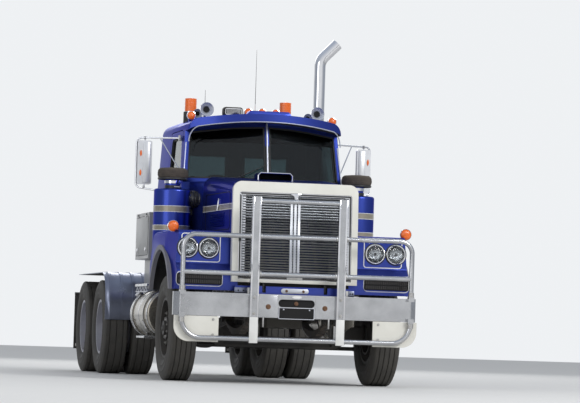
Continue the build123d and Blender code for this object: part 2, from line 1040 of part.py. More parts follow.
def make_mirror(side):
    foot = cab_half_width - cab_wall
    slope = (loop_station - loop_foot_station) / (loop_x - foot)
    station = loop_station - slope * (loop_x - mirror_x)
    loop = bent_tube(
        [
            (foot, loop_foot_station, loop_top),
            (loop_x, loop_station, loop_top),
            (loop_x, loop_station, loop_bottom),
            (foot, loop_foot_station, loop_bottom - 70),
        ],
        loop_bend,
        mirror_tube,
    )
    head = block(
        (mirror_x - mirror_width / 2, mirror_x + mirror_width / 2),
        (station - mirror_depth / 2, station + mirror_depth / 2),
        (mirror_bottom, mirror_top),
    )
    head = fillet(head.edges().filter_by(Axis.Y), 20)
    stem = bar((mirror_x, station, loop_bottom - 20), (mirror_x, station, loop_top), mirror_tube - 1)
    joint_x = (loop_x + foot) / 2
    joint_station = loop_station - slope * (loop_x - joint_x)
    brace = bar((joint_x, joint_station, loop_top), brace_foot, mirror_tube - 3)
    piece = joined([loop, head, stem, brace]) - cab_outer
    if side < 0:
        piece = mirror(piece, Plane.YZ)
    return piece


# Door hinges: a barrel outside the skin, half of it on the pillar and half on the door.


def hinge_piece(side, height, on_door):
    if on_door:
        low, high = height + seat_gap, height + hinge_half
        near, far = door_front + 3, door_front + 60
    else:
        low, high = height - hinge_half, height
        near, far = door_front - door_gap - 55, door_front - door_gap - 2
    leaf_edge = near if on_door else far
    barrel = bar((hinge_x, hinge_station, low), (hinge_x, hinge_station, high), hinge_barrel)
    leaf = block((cab_half_width, cab_half_width + hinge_leaf), (near, far), (low, high))
    web = block((cab_half_width, hinge_x), sorted((leaf_edge, hinge_station)), (low, high))
    gap = (door_front - door_gap - 2, door_front + 3)
    web -= block((cab_half_width - 1, hinge_x), gap, (low - 1, high + 1))
    piece = barrel + leaf + web
    if on_door:
        piece -= bar((hinge_x, hinge_station, low - 1), (hinge_x, hinge_station, high - 6), hinge_pin + 0.1)
    else:
        pin_top = high + hinge_half - 8
        piece += bar((hinge_x, hinge_station, high), (hinge_x, hinge_station, pin_top), hinge_pin)
    if side < 0:
        piece = mirror(piece, Plane.YZ)
    return piece


# Bonnet: two rounded sections joined front to back, open below and behind.
def hood_section(inset, station, half, top):
    corner = hood_corner - inset
    outline = rounded(
        (-half + inset, hood_bottom - inset),
        (-half + inset, top - inset, corner),
        (half - inset, top - inset, corner),
        (half - inset, hood_bottom - inset),
    )
    return Plane.XZ.offset(-station) * outline


def hood_form(inset):
    sections = [
        hood_section(inset, hood_front - inset, hood_front_half, hood_front_top),
        hood_section(inset, hood_rear + inset, hood_rear_half, hood_rear_top),
    ]
    return loft(sections, ruled=True)


# A low air scoop on the bonnet, open to the front.
def make_scoop():
    base = hood_front_top - 20
    top = hood_rear_top + scoop_height - 12
    outer = rounded(
        (-scoop_half, base), (-scoop_half, top, 26), (scoop_half, top, 26), (scoop_half, base)
    )
    half = scoop_half - scoop_wall
    inner = rounded(
        (-half, base - 1), (-half, top - scoop_wall, 18), (half, top - scoop_wall, 18), (half, base - 1)
    )
    scoop = lengthwise(outer, scoop_front, scoop_rear)
    return scoop - lengthwise(inner, scoop_front - 1, scoop_rear - scoop_wall) - hood_outer


def surround_outline(inset_side, inset_top, inset_bottom, corner):
    half = surround_half - inset_side
    return rounded(
        (-half, surround_bottom + inset_bottom),
        (-half, surround_top - inset_top, corner),
        (half, surround_top - inset_top, corner),
        (half, surround_bottom + inset_bottom),
    )


def lean_cut(solid, offset):
    plane = Plane(origin=(0, surround_front + offset, surround_bottom), z_dir=(0, -1, 0))
    plane = plane.rotated((-surround_lean, 0, 0))
    slab = plane * Pos(0, 0, 300) * Box(3000, 4000, 600)
    return solid - slab


def make_surround():
    ring_solid = lengthwise(surround_outline(0, 0, 0, 90), surround_front - 60, hood_front)
    opening = surround_outline(surround_side, surround_header, surround_foot, 25)
    ring_solid -= lengthwise(opening, surround_front - 80, hood_front + 10)
    body = lean_cut(ring_solid, 0)
    for side in (-1, 1):
        outline = rounded(
            (hood_pivot[0] - 26, hood_pivot[1] - 26, 24),
            (hood_pivot[0] + 26, hood_pivot[1] - 26, 24),
            (hood_pivot[0] + 60, surround_bottom + 20),
            (hood_pivot[0] - 10, surround_bottom + 20),
        )
        ear = across(outline, ear_x, ear_x + lug_plate)
        ear -= bar((0, *hood_pivot), (500, *hood_pivot), hood_pin + pin_gap)
        if side < 0:
            ear = mirror(ear, Plane.YZ)
        body += ear
    return body


# How far the leaning front has moved back at a height.
def lean_drop(height):
    return (height - surround_bottom) * math.tan(math.radians(surround_lean))


# The grille: a frame with tilted fins, comb strips whose teeth reach between the fins at both
# ends, and three bars down the middle.
def make_grille():
    half = surround_half - surround_side
    bottom = surround_bottom + surround_foot
    top = surround_top - surround_header
    inner = half - grille_frame
    low = bottom + grille_frame
    high = top - grille_frame
    outline = rounded((-half, bottom), (-half, top, 25), (half, top, 25), (half, bottom))
    hole = rounded((-inner, low), (-inner, high, 8), (inner, high, 8), (inner, low))
    grille = lengthwise(outline, surround_front - 50, hood_front)
    grille -= lengthwise(hole, surround_front - 60, hood_front + 5)
    grille = lean_cut(grille, grille_set_back)
    front = surround_front + grille_set_back
    count = int((high - low) / fin_pitch)
    pieces = []
    for index in range(count):
        height = low + (index + 0.5) * fin_pitch
        middle = front + lean_drop(height) + 14 + fin_depth / 2
        place = Pos(0, middle, height) * Rot(-fin_lean, 0, 0)
        pieces.append(place * Box(2 * inner + 2, fin_depth, fin_thickness))
    for side in (-1, 1):
        strip_x = side * (inner - comb_strip / 2)
        near, far = strip_x - comb_strip / 2 - 1, strip_x + comb_strip / 2 + 1
        strip = block((near, far), (surround_front - 50, hood_front - 20), (low, high))
        pieces.append(lean_cut(strip, grille_set_back + 8))
        tooth_x = side * (inner + 1 - comb_width / 2)
        for index in range(count):
            height = low + (index + 1) * fin_pitch
            station = front + lean_drop(height) + 2 + tooth_depth / 2
            pieces.append(Pos(tooth_x, station, height) * Box(comb_width, tooth_depth, tooth_height))
    half_bar = centre_bar_width / 2
    for x in (-centre_bar_pitch, 0, centre_bar_pitch):
        centre_bar = block((x - half_bar, x + half_bar), (surround_front - 50, hood_front - 40), (low - 2, high + 2))
        pieces.append(lean_cut(centre_bar, grille_set_back + 6))
    return joined([grille, *pieces])


# Wings: a flat-fronted body round the wheel, with a chin that stands forward for the signal lamp.
def wing_outline(inset):
    return rounded(
        (wing_chin + inset, wing_bottom - 2 * inset),
        (wing_chin + inset, chin_top - inset / 2, 20),
        (wing_front + inset, shelf_top, 20),
        (wing_front + inset, wing_top - inset, 45),
        (wing_rear - 210 - inset, wing_top - inset, 160),
        (wing_rear - inset, 1180, 200),
        (wing_rear - inset, wing_bottom - 2 * inset),
    )


# Seen from above, the outer side swells from the front corner to the wheel arch.
def wing_plan(inset, height, front_x):
    near = hood_front_half - 60 - inset
    outline = rounded(
        (near, wing_chin - 20),
        (front_x - inset, wing_chin - 20),
        (wing_half - inset, wing_swell_station),
        (wing_half - inset, wing_rear + 20),
        (near, wing_rear + 20),
    )
    return Plane.XY.offset(height) * outline


def wing_form(inset):
    low = wing_plan(inset, wing_bottom - 30, wing_front_low)
    high = wing_plan(inset, wing_top + 20, wing_front_high)
    half = wing_half - inset
    top = wing_top - inset
    foot = wing_bottom - 50
    crown = rounded((0, foot), (half, foot), (half, top, wing_crown - inset), (0, top))
    sides = across(wing_outline(inset), 0, wing_half) & lengthwise(crown, wing_chin - 10, wing_rear + 10)
    return loft([low, high], ruled=True) & sides


def make_wing():
    wing = wing_form(0) - wing_form(wing_skin)
    ends = [(wing_half + offset, 0, arch_height) for offset in (-30, arch_flare)]
    flare = ring(*ends, arch_radius + arch_lip, arch_radius)
    wing += flare & across(wing_outline(0), 0, wing_half + 50)
    wing -= bar((wing_front_high, 0, arch_height), (wing_half + 50, 0, arch_height), arch_radius)
    wing -= surround_block
    wing -= hood_outer
    return wing - block((0, wing_half + 50), (wing_chin - 10, wing_rear + 10), (0, wing_bottom))


# Round twin headlamps in each wing.


def make_headlamps():
    pieces = []
    for x in lamp_places:
        bezel = ring((x, wing_front, lamp_height), (x, wing_front - 16, lamp_height), lamp_bezel, lamp_lens)
        lens = bar((x, wing_front, lamp_height), (x, wing_front - 9, lamp_height), lamp_lens)
        pieces += both_sides(bezel) + both_sides(lens)
    return pieces


def make_signals():
    lamp = block(signal_span, (wing_chin - 10, wing_chin), signal_heights)
    x, station, height = marker_place
    marker = bar((x, station - 25, height), (x, station + 25, height), marker_radius)
    marker += bar((x - 45, station, wing_top - 20), (x - 10, station, height), 20)
    return both_sides(lamp) + both_sides(marker - wing_form(0))


# Bumper: a polished band whose ends wrap back.
def make_bumper():
    chamfer = bumper_chamfer
    sheet = bumper_sheet
    inner = bumper_half - sheet
    outline = rounded(
        (-bumper_half, bumper_wrap),
        (-bumper_half, bumper_front + chamfer, 30),
        (-bumper_half + chamfer, bumper_front, 30),
        (bumper_half - chamfer, bumper_front, 30),
        (bumper_half, bumper_front + chamfer, 30),
        (bumper_half, bumper_wrap),
        (inner, bumper_wrap),
        (inner, bumper_front + chamfer + 3, 26),
        (bumper_half - chamfer - 3, bumper_front + sheet, 26),
        (-bumper_half + chamfer + 3, bumper_front + sheet, 26),
        (-inner, bumper_front + chamfer + 3, 26),
        (-inner, bumper_wrap),
    )
    band = upright(outline, bumper_bottom, bumper_top)
    slot_half, slot_low, slot_high = bumper_slot
    corner = (slot_high - slot_low) / 2 - 1
    slot = rounded(
        (-slot_half, slot_low, corner),
        (slot_half, slot_low, corner),
        (slot_half, slot_high, corner),
        (-slot_half, slot_high, corner),
    )
    raised = rounded(
        (centre_plate[0], bumper_bottom + 6),
        (centre_plate[0], bumper_top - 6, 20),
        (centre_plate[1], bumper_top - 6, 20),
        (centre_plate[1], bumper_bottom + 6),
    )
    plates = both_sides(lengthwise(raised, bumper_front - 6, bumper_front + 1))
    band = joined([band, *plates]) - lengthwise(slot, bumper_front - 10, bumper_front + sheet + 10)
    number = block((-180, 180), (bumper_front - 6, bumper_front), (bumper_bottom - 10, slot_low - 2))
    return [band, number]


# Bull bar: two channel posts, a top hoop, a middle rail and a low rail that rises to the bumper.
def make_bull_bar():
    back = bumper_front
    front = back - post_depth
    pieces = []
    for side in (-1, 1):
        x = side * post_spread / 2
        post = block((x - post_width / 2, x + post_width / 2), (front, back), (post_bottom, post_top))
        inner = post_width / 2 - post_wall
        post -= block((x - inner, x + inner), (front + post_wall, back + 1), (post_bottom - 1, post_top + 1))
        ear_near = bracket_x + bracket_plate + running_gap
        ear_outline = rounded(
            (back, bar_pivot[1] - 60),
            (bar_pivot[0] + 28, bar_pivot[1] - 28, 26),
            (bar_pivot[0] + 28, bar_pivot[1] + 28, 26),
            (back, bar_pivot[1] + 90),
        )
        ear = across(ear_outline, ear_near, ear_near + ear_plate)
        ear += block((ear_near, post_spread / 2), (back, back + 10), (bar_pivot[1] - 60, bar_pivot[1] + 90))
        ear -= bar((0, *bar_pivot), (600, *bar_pivot), bar_pin + pin_gap)
        if side < 0:
            ear = mirror(ear, Plane.YZ)
        pieces.append(post + ear)
    tube_y = front + post_depth / 2
    body = joined(pieces)
    hoop = bent_tube(
        [
            (-hoop_half, tube_y, bumper_top),
            (-hoop_half, tube_y, hoop_top),
            (hoop_half, tube_y, hoop_top),
            (hoop_half, tube_y, bumper_top),
        ],
        hoop_bend,
        hoop_tube,
    )
    middle = bar((-hoop_half, tube_y, hoop_middle), (hoop_half, tube_y, hoop_middle), hoop_tube)
    top = bar((-post_spread / 2, tube_y, post_top - 40), (post_spread / 2, tube_y, post_top - 40), hoop_tube)
    low = bent_tube(
        [
            (-hoop_half, tube_y, bumper_bottom),
            (-hoop_half, tube_y, hoop_low),
            (hoop_half, tube_y, hoop_low),
            (hoop_half, tube_y, bumper_bottom),
        ],
        low_bend,
        hoop_tube,
    )
    body = joined([body, hoop, middle, top, low])
    feet = [
        block((side * hoop_half - 30, side * hoop_half + 30), (back - 55, back), (z0, z1))
        for side in (-1, 1)
        for z0, z1 in ((bumper_top - 30, bumper_top + 15), (bumper_bottom - 15, bumper_bottom + 30))
    ]
    return joined([body, *feet])


def make_corner_plates():
    inner = bumper_half - corner_plate_width
    outline = rounded(
        (inner, bumper_bottom - 3),
        (inner, corner_plate_bottom),
        (bumper_half, corner_plate_bottom, corner_plate_corner),
        (bumper_half, bumper_bottom - 3),
    )
    return both_sides(lengthwise(outline, bumper_front, bumper_front + 5))


# Air cleaners stand beside the cowl, each with a pre-cleaner cap and a duct to the cowl.


def make_air_cleaners():
    spot = (cleaner_x, cleaner_station)
    can = bar((*spot, cleaner_bottom), (*spot, cleaner_top), cleaner_radius)
    can = fillet(can.edges().filter_by(GeomType.CIRCLE), 25)
    can += bar((*spot, cleaner_top - 5), (*spot, cap_bottom + 5), cleaner_neck)
    cap = bar((*spot, cap_bottom), (*spot, cap_top), cap_radius)
    can += fillet(cap.edges().filter_by(GeomType.CIRCLE), 30)
    for height in cleaner_arms:
        near = cleaner_station + 20
        arm = block((640, cleaner_x - 120), (near, near + 40), (height, height + 60))
        can += arm - cab_outer
    return both_sides(can)


# The duct swells between two collars on its way to the cowl.
def make_ducts(cleaners):
    station = cleaner_station - 20
    reach = cleaner_x - 100
    duct = bar((600, station, duct_height), (reach, station, duct_height), duct_radius)
    duct += Pos(cleaner_x - cleaner_radius - 20, station, duct_height) * Sphere(duct_radius + 16)
    duct -= cleaners[0]
    duct -= cab_outer
    return both_sides(duct)


# Roof equipment
def on_roof(piece):
    return piece - cab_outer


# Marker lamps have a round lens with a tapered housing behind it, and beacons a round base.
def make_roof_lamps():
    pieces = []
    station = marker_lamp_station
    for x, height in marker_lamps:
        lamp = bar((x, station, height), (x, station + 40, height), marker_lamp_radius)
        taper = Plane(origin=(x, station + 40, height), z_dir=(0, 1, 0)) * Pos(0, 0, 90)
        lamp += taper * Cone(marker_lamp_radius, 12, 180)
        lamp += block((x - 16, x + 16), (station + 30, station + 110), (height - 90, height - 10))
        pieces.append(on_roof(lamp))
    for x in beacon_places:
        foot = (x, beacon_station, roof_height - 80)
        beacon = bar(foot, (x, beacon_station, beacon_top), beacon_radius)
        base = bar(foot, (x, beacon_station, roof_height + 40), beacon_radius + 12)
        pieces.append(on_roof(beacon + base))
    return pieces


# Trumpet horns in pairs: a bell, a tube and a foot. Columns: offset, set-back, bell, length, height.
horn_pair = (
    (0, 0, 74, 520, 2825),
    (-74, 130, 50, 170, 2785),
)


def make_horns():
    pieces = []
    for stand in horn_stands:
        for offset, set_back, bell, length, height in horn_pair:
            x = stand + offset
            station = horn_station + set_back
            flare = ThreePointArc((bell, 0), (bell * 0.45, bell * 0.5), (horn_tube + 6, bell * 1.6))
            walls = Polyline((horn_tube + 6, bell * 1.6), (0, bell * 1.6), (0, 0), (bell, 0))
            trumpet = revolve(Plane.XY * make_face([flare, walls]), Axis.Y)
            horn = Pos(x, station, height) * trumpet
            horn += bar((x, station + bell, height), (x, station + length, height), horn_tube)
            foot = station + length * 0.6
            horn += block((x - 12, x + 12), (foot, foot + 40), (height - 150, height))
            pieces.append(on_roof(horn))
    return pieces


# Exhaust stack behind the cab, with its silencer below and its tip turned outwards.
def make_exhaust():
    spot = (stack_x, stack_station)
    pipe = bent_tube(
        [
            (*spot, silencer_top),
            (*spot, stack_top - stack_turn),
            (stack_x + stack_turn, stack_station, stack_top),
        ],
        stack_bend,
        stack_radius,
        stack_radius - stack_wall,
    )
    silencer = bar((*spot, silencer_bottom), (*spot, silencer_top), silencer_radius)
    elbow_height = cab_floor - 60
    lower = bent_tube(
        [(*spot, silencer_bottom), (*spot, elbow_height), (rail_face + 60, stack_station, elbow_height)],
        stack_bend - 30,
        stack_radius,
    )
    near, far = stack_station - 90, stack_station - 70
    bracket = block((rail_face - 60, stack_x - 30), (near, far), (rail_top, silencer_bottom + 30))
    grip = (silencer_bottom + 10, silencer_bottom + 40)
    bracket += block((stack_x - 60, stack_x - 20), (near, stack_station), grip)
    return [joined([pipe, silencer, lower, bracket])]


# Fuel tanks hang on the rails on both sides.


def tank_body():
    tank = bar((tank_x, tank_front, tank_height), (tank_x, tank_rear, tank_height), tank_radius)
    return fillet(tank.edges().filter_by(GeomType.CIRCLE), 25)


def make_fuel_tanks():
    tank = tank_body()
    half = strap_width / 2
    for station in strap_stations:
        ends = [(tank_x, station + offset, tank_height) for offset in (-half, half)]
        tank += ring(*ends, tank_radius + 6, tank_radius - 2)
        tank += block((rail_face, tank_x), (station - half, station + half), (rail_bottom, rail_top - 60))
    return both_sides(tank)


# A step plate over each tank on two feet, and a lower one under its outer side on two hangers.
def make_steps():
    low, high = strap_stations[0], strap_stations[1] - 100
    tank_top = tank_height + tank_radius
    step = block((720, 1170), (low - 80, high + 80), (step_top - step_sheet, step_top))
    for station in (low, high):
        foot = (tank_top + 6.3, step_top - step_sheet)
        step += block((tank_x - 40, tank_x + 40), (station - 30, station + 30), foot)
    lower = block((1010, 1185), (low - 80, low + 420), (low_step_height - low_step_sheet, low_step_height))
    for station in (low, low + 340):
        lower += block((1060, 1085), (station - 20, station + 20), (low_step_height, tank_height))
    lower -= tank_body()
    lower -= bar((tank_x, tank_front, tank_height), (tank_x, tank_rear, tank_height), tank_radius + 6.3)
    return both_sides(step) + both_sides(lower)


# Ribbed mudguards run over each pair of rear axles.


def guard_outline(lift):
    return rounded(
        (guard_front - lift, guard_foot),
        (guard_front - lift, guard_top + lift, guard_bend),
        (guard_rear, guard_top + lift),
        (guard_rear, guard_top - guard_sheet),
        (guard_front + guard_sheet, guard_top - guard_sheet, guard_bend - guard_sheet),
        (guard_front + guard_sheet, guard_foot),
    )


def make_mudguards():
    guard = across(guard_outline(0), guard_inner, wing_half)
    for index in range(rib_count):
        x = guard_inner + 45 + index * rib_pitch
        guard += across(guard_outline(guard_rib), x - 16, x + 16)
    for station in stay_stations:
        stay = [
            (rail_face, station, stay_height),
            (guard_inner - 70, station, stay_height),
            (guard_inner + 50, station, guard_top - guard_sheet),
        ]
        guard += bent_tube(stay, 50, 20)
    return both_sides(guard)


def make_mudflaps():
    near, far = flap_span
    flap = block((near, far), (rail_rear - 6, rail_rear), (flap_bottom, stay_height - 5))
    station = rail_rear - 3
    hanger = bar((rail_face, station, stay_height + 5), (far, station, stay_height + 5), 18)
    return both_sides(flap + hanger)


# Fifth wheel plate on its pedestals.


def make_fifth_wheel():
    centre = coupling_station
    tail = centre + 480
    half = coupling_half
    outline = rounded(
        (-half, centre - 420, 120),
        (half, centre - 420, 120),
        (half, centre + 120, 60),
        (coupling_horn, tail, 50),
        (jaw_mouth, tail, 20),
        (jaw_slit / 2, centre + jaw_mouth),
        (jaw_slit / 2, centre),
        (-jaw_slit / 2, centre),
        (-jaw_slit / 2, centre + jaw_mouth),
        (-jaw_mouth, tail, 20),
        (-coupling_horn, tail, 50),
        (-half, centre + 120, 60),
    )
    plate = upright(outline, coupling_height - coupling_plate, coupling_height)
    plate -= bar((0, centre, coupling_height - 100), (0, centre, coupling_height + 10), jaw_radius)
    for side in (-1, 1):
        x = side * (half - 60)
        plate += block((x - 60, x + 60), (centre - 90, centre + 90), (rail_top, coupling_height - 30))
    return plate


# Locker across the rails behind the cab.


def make_locker():
    box = block((-900, locker_half), (locker_front, locker_rear), (locker_bottom, locker_top))
    stand = block((-800, 400), (locker_front + 60, locker_rear - 60), (rail_top, locker_bottom))
    return [box + stand]


def make_battery_box():
    return [block((rail_face, 1000), (2330, 2680), (560, 900))]


def make_air_tanks():
    x, height, radius = air_tank
    near, far = air_tank_span
    tank = bar((x, near, height), (x, far, height), radius)
    tank += block((x, rail_face - rail_web), (near + 300, near + 360), (height - 40, height + 40))
    return both_sides(tank)


def make_tail_lamps():
    lamp = block((rail_face - 80, rail_face + 120), (rail_rear, rail_rear + tail_depth), (780, 880))
    return both_sides(lamp)


def make_dashboard():
    board = block((-800, 800), (cowl_front, 1330), (1760, 1990)) & cab_hollow
    foot = Vector(*wheel_centre) - column_way * 280
    head = Vector(*wheel_centre) - column_way * (20 + seat_gap)
    return [board + bar(foot, head, 30)]


def make_steering_wheel():
    tilt = Plane(origin=wheel_centre, z_dir=column_way)
    rim = tilt * Torus(wheel_rim, 14)
    hub = tilt * Cylinder(45, 40)
    for index in range(3):
        spoke = tilt * Rot(0, 0, 90 + 120 * index) * Pos(125, 0, 0) * Box(235, 26, 12)
        hub += spoke
    return rim + hub


def make_seats():
    pieces = []
    for x in seat_places:
        floor = cab_floor + cab_wall
        base = block((x - 170, x + 170), (1850, 2200), (floor, 1450))
        cushion = block((x - 250, x + 250), (1760, 2280), (1450, 1590))
        back = block((x - 240, x + 240), (2280, 2400), (1450, 2150))
        pieces.append(joined([base, cushion, back]))
    return pieces


cab_outer, cab_hollow, cab_walls, cab_shell = make_cab()
hood_outer = hood_form(0)
surround = make_surround()
surround_block = lengthwise(surround_outline(0, 0, 0, 90), surround_front - 60, hood_front)
hood = hood_outer - hood_form(hood_skin) + make_scoop()

cleaners = make_air_cleaners()
rear_axles = make_rear_axles()
nodes = {
    "frame": make_frame(),
    "front_axle": [make_front_axle()],
    "suspension": make_suspension(),
    "rear_axles": rear_axles,
    "engine": [make_engine()],
    "driveline": make_driveline(),
    "radiator": [make_radiator()],
    "cab_shell": [cab_shell],
    "cab_glass": make_cab_glass(),
    "dashboard": make_dashboard(),
    "seats": make_seats(),
    "roof_lamps": make_roof_lamps(),
    "air_horns": make_horns(),
    "exhaust": make_exhaust(),
    "air_cleaners": cleaners,
    "intake_ducts": make_ducts(cleaners),
    "fuel_tanks": make_fuel_tanks(),
    "steps": make_steps(),
    "mudguards": make_mudguards(),
    "mudflaps": make_mudflaps(),
    "fifth_wheel": [make_fifth_wheel()],
    "rear_locker": make_locker(),
    "battery_box": make_battery_box(),
    "air_tanks": make_air_tanks(),
    "tail_lamps": make_tail_lamps(),
    "hood_shell": [hood],
    "grille_surround": [surround],
    "grille": [make_grille()],
    "fenders": both_sides(make_wing()),
    "headlamps": make_headlamps(),
    "signal_lamps": make_signals(),
    "bumper": make_bumper(),
    "bull_bar_frame": [make_bull_bar()],
    "corner_plates": make_corner_plates(),
    "track_rod": [make_track_rod()],
    "steering_wheel": [make_steering_wheel()],
}
for side, label in ((-1, "right"), (1, "left")):
    nodes[f"door_{label}"] = [make_door(side, cab_walls)]
    nodes[f"door_glass_{label}"] = [make_door_glass(side)]
    nodes[f"mirror_{label}"] = [make_mirror(side)]
    nodes[f"knuckle_{label}"] = [make_knuckle(side)]
    turn = Rot(0, 0, 0) if side > 0 else Rot(0, 0, 180)
    place = Pos(side * front_track / 2, 0, axle_height) * turn
    nodes[f"tyre_front_{label}"] = [place * tyre_at(0)]
    nodes[f"wheel_front_{label}"] = [place * front_wheel()]
    for number, station in enumerate(rear_stations, 1):
        place = Pos(side * rear_track / 2, station, axle_height) * turn
        twins = (-dual_spacing / 2, dual_spacing / 2)
        nodes[f"tyres_rear_{number}_{label}"] = [place * tyre_at(x) for x in twins]
        nodes[f"wheel_rear_{number}_{label}"] = [place * rear_wheel()]

front_end = bumper_front - post_depth
rear_end = rail_rear + tail_depth
home = Pos(0, -(front_end + rear_end) / 2, 0)
for name, pieces in nodes.items():
    solids = [home * solid for piece in pieces for solid in piece.solids()]
    export_step(Compound(solids), f"parts/{name}.step")
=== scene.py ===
import json
import math

import bmesh
import bpy
from mathutils import Matrix, Quaternion, Vector


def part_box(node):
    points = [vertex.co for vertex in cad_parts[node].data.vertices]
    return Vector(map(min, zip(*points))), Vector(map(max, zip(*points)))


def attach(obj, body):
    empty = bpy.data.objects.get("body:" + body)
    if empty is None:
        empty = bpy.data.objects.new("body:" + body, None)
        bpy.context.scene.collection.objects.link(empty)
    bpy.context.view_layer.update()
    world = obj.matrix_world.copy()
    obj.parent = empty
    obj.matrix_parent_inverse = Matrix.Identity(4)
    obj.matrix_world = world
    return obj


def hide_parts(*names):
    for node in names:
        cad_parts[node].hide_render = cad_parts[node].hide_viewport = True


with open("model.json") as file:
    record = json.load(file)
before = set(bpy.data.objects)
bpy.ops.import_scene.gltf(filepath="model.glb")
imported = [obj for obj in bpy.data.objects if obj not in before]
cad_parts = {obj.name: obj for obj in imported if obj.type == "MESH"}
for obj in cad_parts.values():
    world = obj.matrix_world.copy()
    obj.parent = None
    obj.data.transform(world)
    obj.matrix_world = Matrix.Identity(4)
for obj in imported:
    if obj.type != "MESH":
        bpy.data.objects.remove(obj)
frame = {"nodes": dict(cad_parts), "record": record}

scene = bpy.context.scene
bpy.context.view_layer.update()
record = frame["record"]
bodyOfNode = {node: body for body, nodes in record["behaviour"]["bodies"].items() for node in nodes}
sides = (("right", -1), ("left", 1))

frontTyreLow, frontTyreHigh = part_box("tyre_front_right")
axleY = (frontTyreLow[1] + frontTyreHigh[1]) / 2  # front axle line
axleZ = (frontTyreLow[2] + frontTyreHigh[2]) / 2


def at(x, behind, z):
    return Vector((x, axleY + behind, z))


# Camera: low on the road, far off to the right of the nose, with a long lens
cameraValues = {
    "place": (-6.56, -35.24, 0.46),
    "heading": 11.535,  # degrees towards +X from straight ahead
    "pitch": 2.385,
    "roll": 1.80,
    "lens": 203.6,
}


def makeCamera(values):
    heading, pitch = math.radians(values["heading"]), math.radians(values["pitch"])
    look = Vector((math.cos(pitch) * math.sin(heading), math.cos(pitch) * math.cos(heading), math.sin(pitch)))
    camera = bpy.data.objects.new("camera", bpy.data.cameras.new("camera"))
    camera.data.lens = values["lens"]
    camera.data.sensor_width = 36
    camera.data.clip_end = 200
    turn = look.to_track_quat("-Z", "Y") @ Quaternion((0, 0, 1), math.radians(values["roll"]))
    camera.rotation_mode = "QUATERNION"
    camera.rotation_quaternion = turn
    camera.location = values["place"]
    scene.collection.objects.link(camera)
    scene.camera = camera


makeCamera(cameraValues)


# Shader groups that several finishes share
def newGroup(name, inputs, outputs):
    group = bpy.data.node_groups.new(name, "ShaderNodeTree")
    for label, kind, value in inputs:
        socket = group.interface.new_socket(label, in_out="INPUT", socket_type="NodeSocket" + kind)
        socket.default_value = value
    for label, kind in outputs:
        group.interface.new_socket(label, in_out="OUTPUT", socket_type="NodeSocket" + kind)
    return group, group.nodes.new("NodeGroupInput"), group.nodes.new("NodeGroupOutput")


def feed(tree, made, inputs):
    # Links or sets inputs by name, or by number as i0, i1 and so on
    for key, value in inputs.items():
        socket = made.inputs[int(key[1:])] if key[0] == "i" and key[1:].isdigit() else made.inputs[key]
        if hasattr(value, "is_output"):
            tree.links.new(value, socket)
        else:
            socket.default_value = value
    return made


def node(tree, kind, settings=None, **inputs):
    made = tree.nodes.new("ShaderNode" + kind)
    for key, value in (settings or {}).items():
        setattr(made, key, value)
    return feed(tree, made, inputs)


def newMaterial(name):
    material = bpy.data.materials.new(name)
    material.use_nodes = True
    return material, material.node_tree, material.node_tree.nodes["Principled BSDF"]


def bumped(tree, height, strength, distance):
    return node(tree, "Bump", Height=height, Strength=strength, Distance=distance).outputs[0]


def maths(tree, operation, first, second=0.0, clamp=False):
    return node(tree, "Math", {"operation": operation, "use_clamp": clamp}, i0=first, i1=second).outputs[0]


def remap(tree, value, fromLow, fromHigh, toLow=0.0, toHigh=1.0):
    made = node(tree, "MapRange", {"clamp": True}, i0=value, i1=fromLow, i2=fromHigh, i3=toLow, i4=toHigh)
    return made.outputs[0]


def mixColour(tree, factor, first, second):
    made = node(tree, "Mix", {"data_type": "RGBA"}, i0=factor, i6=first, i7=second)
    return made.outputs[2]


def noise(tree, scale, detail=3.0, roughness=0.55, stretch=None):
    vector = node(tree, "TexCoord").outputs["Object"]
    if stretch:
        vector = node(tree, "Mapping", Vector=vector, Scale=stretch).outputs[0]
    return node(tree, "TexNoise", Vector=vector, Scale=scale, Detail=detail, Roughness=roughness).outputs[0]


def makeDustGroup():
    # Road dust: thick on faces that look up, more of it low down, broken up by noise
    group, given, out = newGroup(
        "roadDust",
        (("Color", "Color", (0.5, 0.5, 0.5, 1)), ("Dust Color", "Color", (0.32, 0.27, 0.20, 1)),
         ("Top", "Float", 0.3), ("Low", "Float", 0.3), ("Scale", "Float", 6.0)),
        (("Color", "Color"), ("Mask", "Float")),
    )
    coords = node(group, "TexCoord")
    up = node(group, "SeparateXYZ", Vector=coords.outputs["Normal"]).outputs[2]
    height = node(group, "SeparateXYZ", Vector=coords.outputs["Object"]).outputs[2]
    patches = node(group, "TexNoise", Vector=coords.outputs["Object"], Scale=given.outputs["Scale"], Detail=6.0)
    broken = remap(group, patches.outputs[0], 0.35, 0.68)
    top = maths(group, "MULTIPLY", remap(group, up, 0.35, 1.0), given.outputs["Top"])
    low = maths(group, "MULTIPLY", remap(group, height, 1.5, 0.3), given.outputs["Low"])
    mask = maths(group, "MULTIPLY", maths(group, "ADD", top, low), remap(group, broken, 0.0, 1.0, 0.45, 1.0), True)
    mixed = mixColour(group, mask, given.outputs["Color"], given.outputs["Dust Color"])
    feed(group, out, {"Color": mixed, "Mask": mask})
    return group


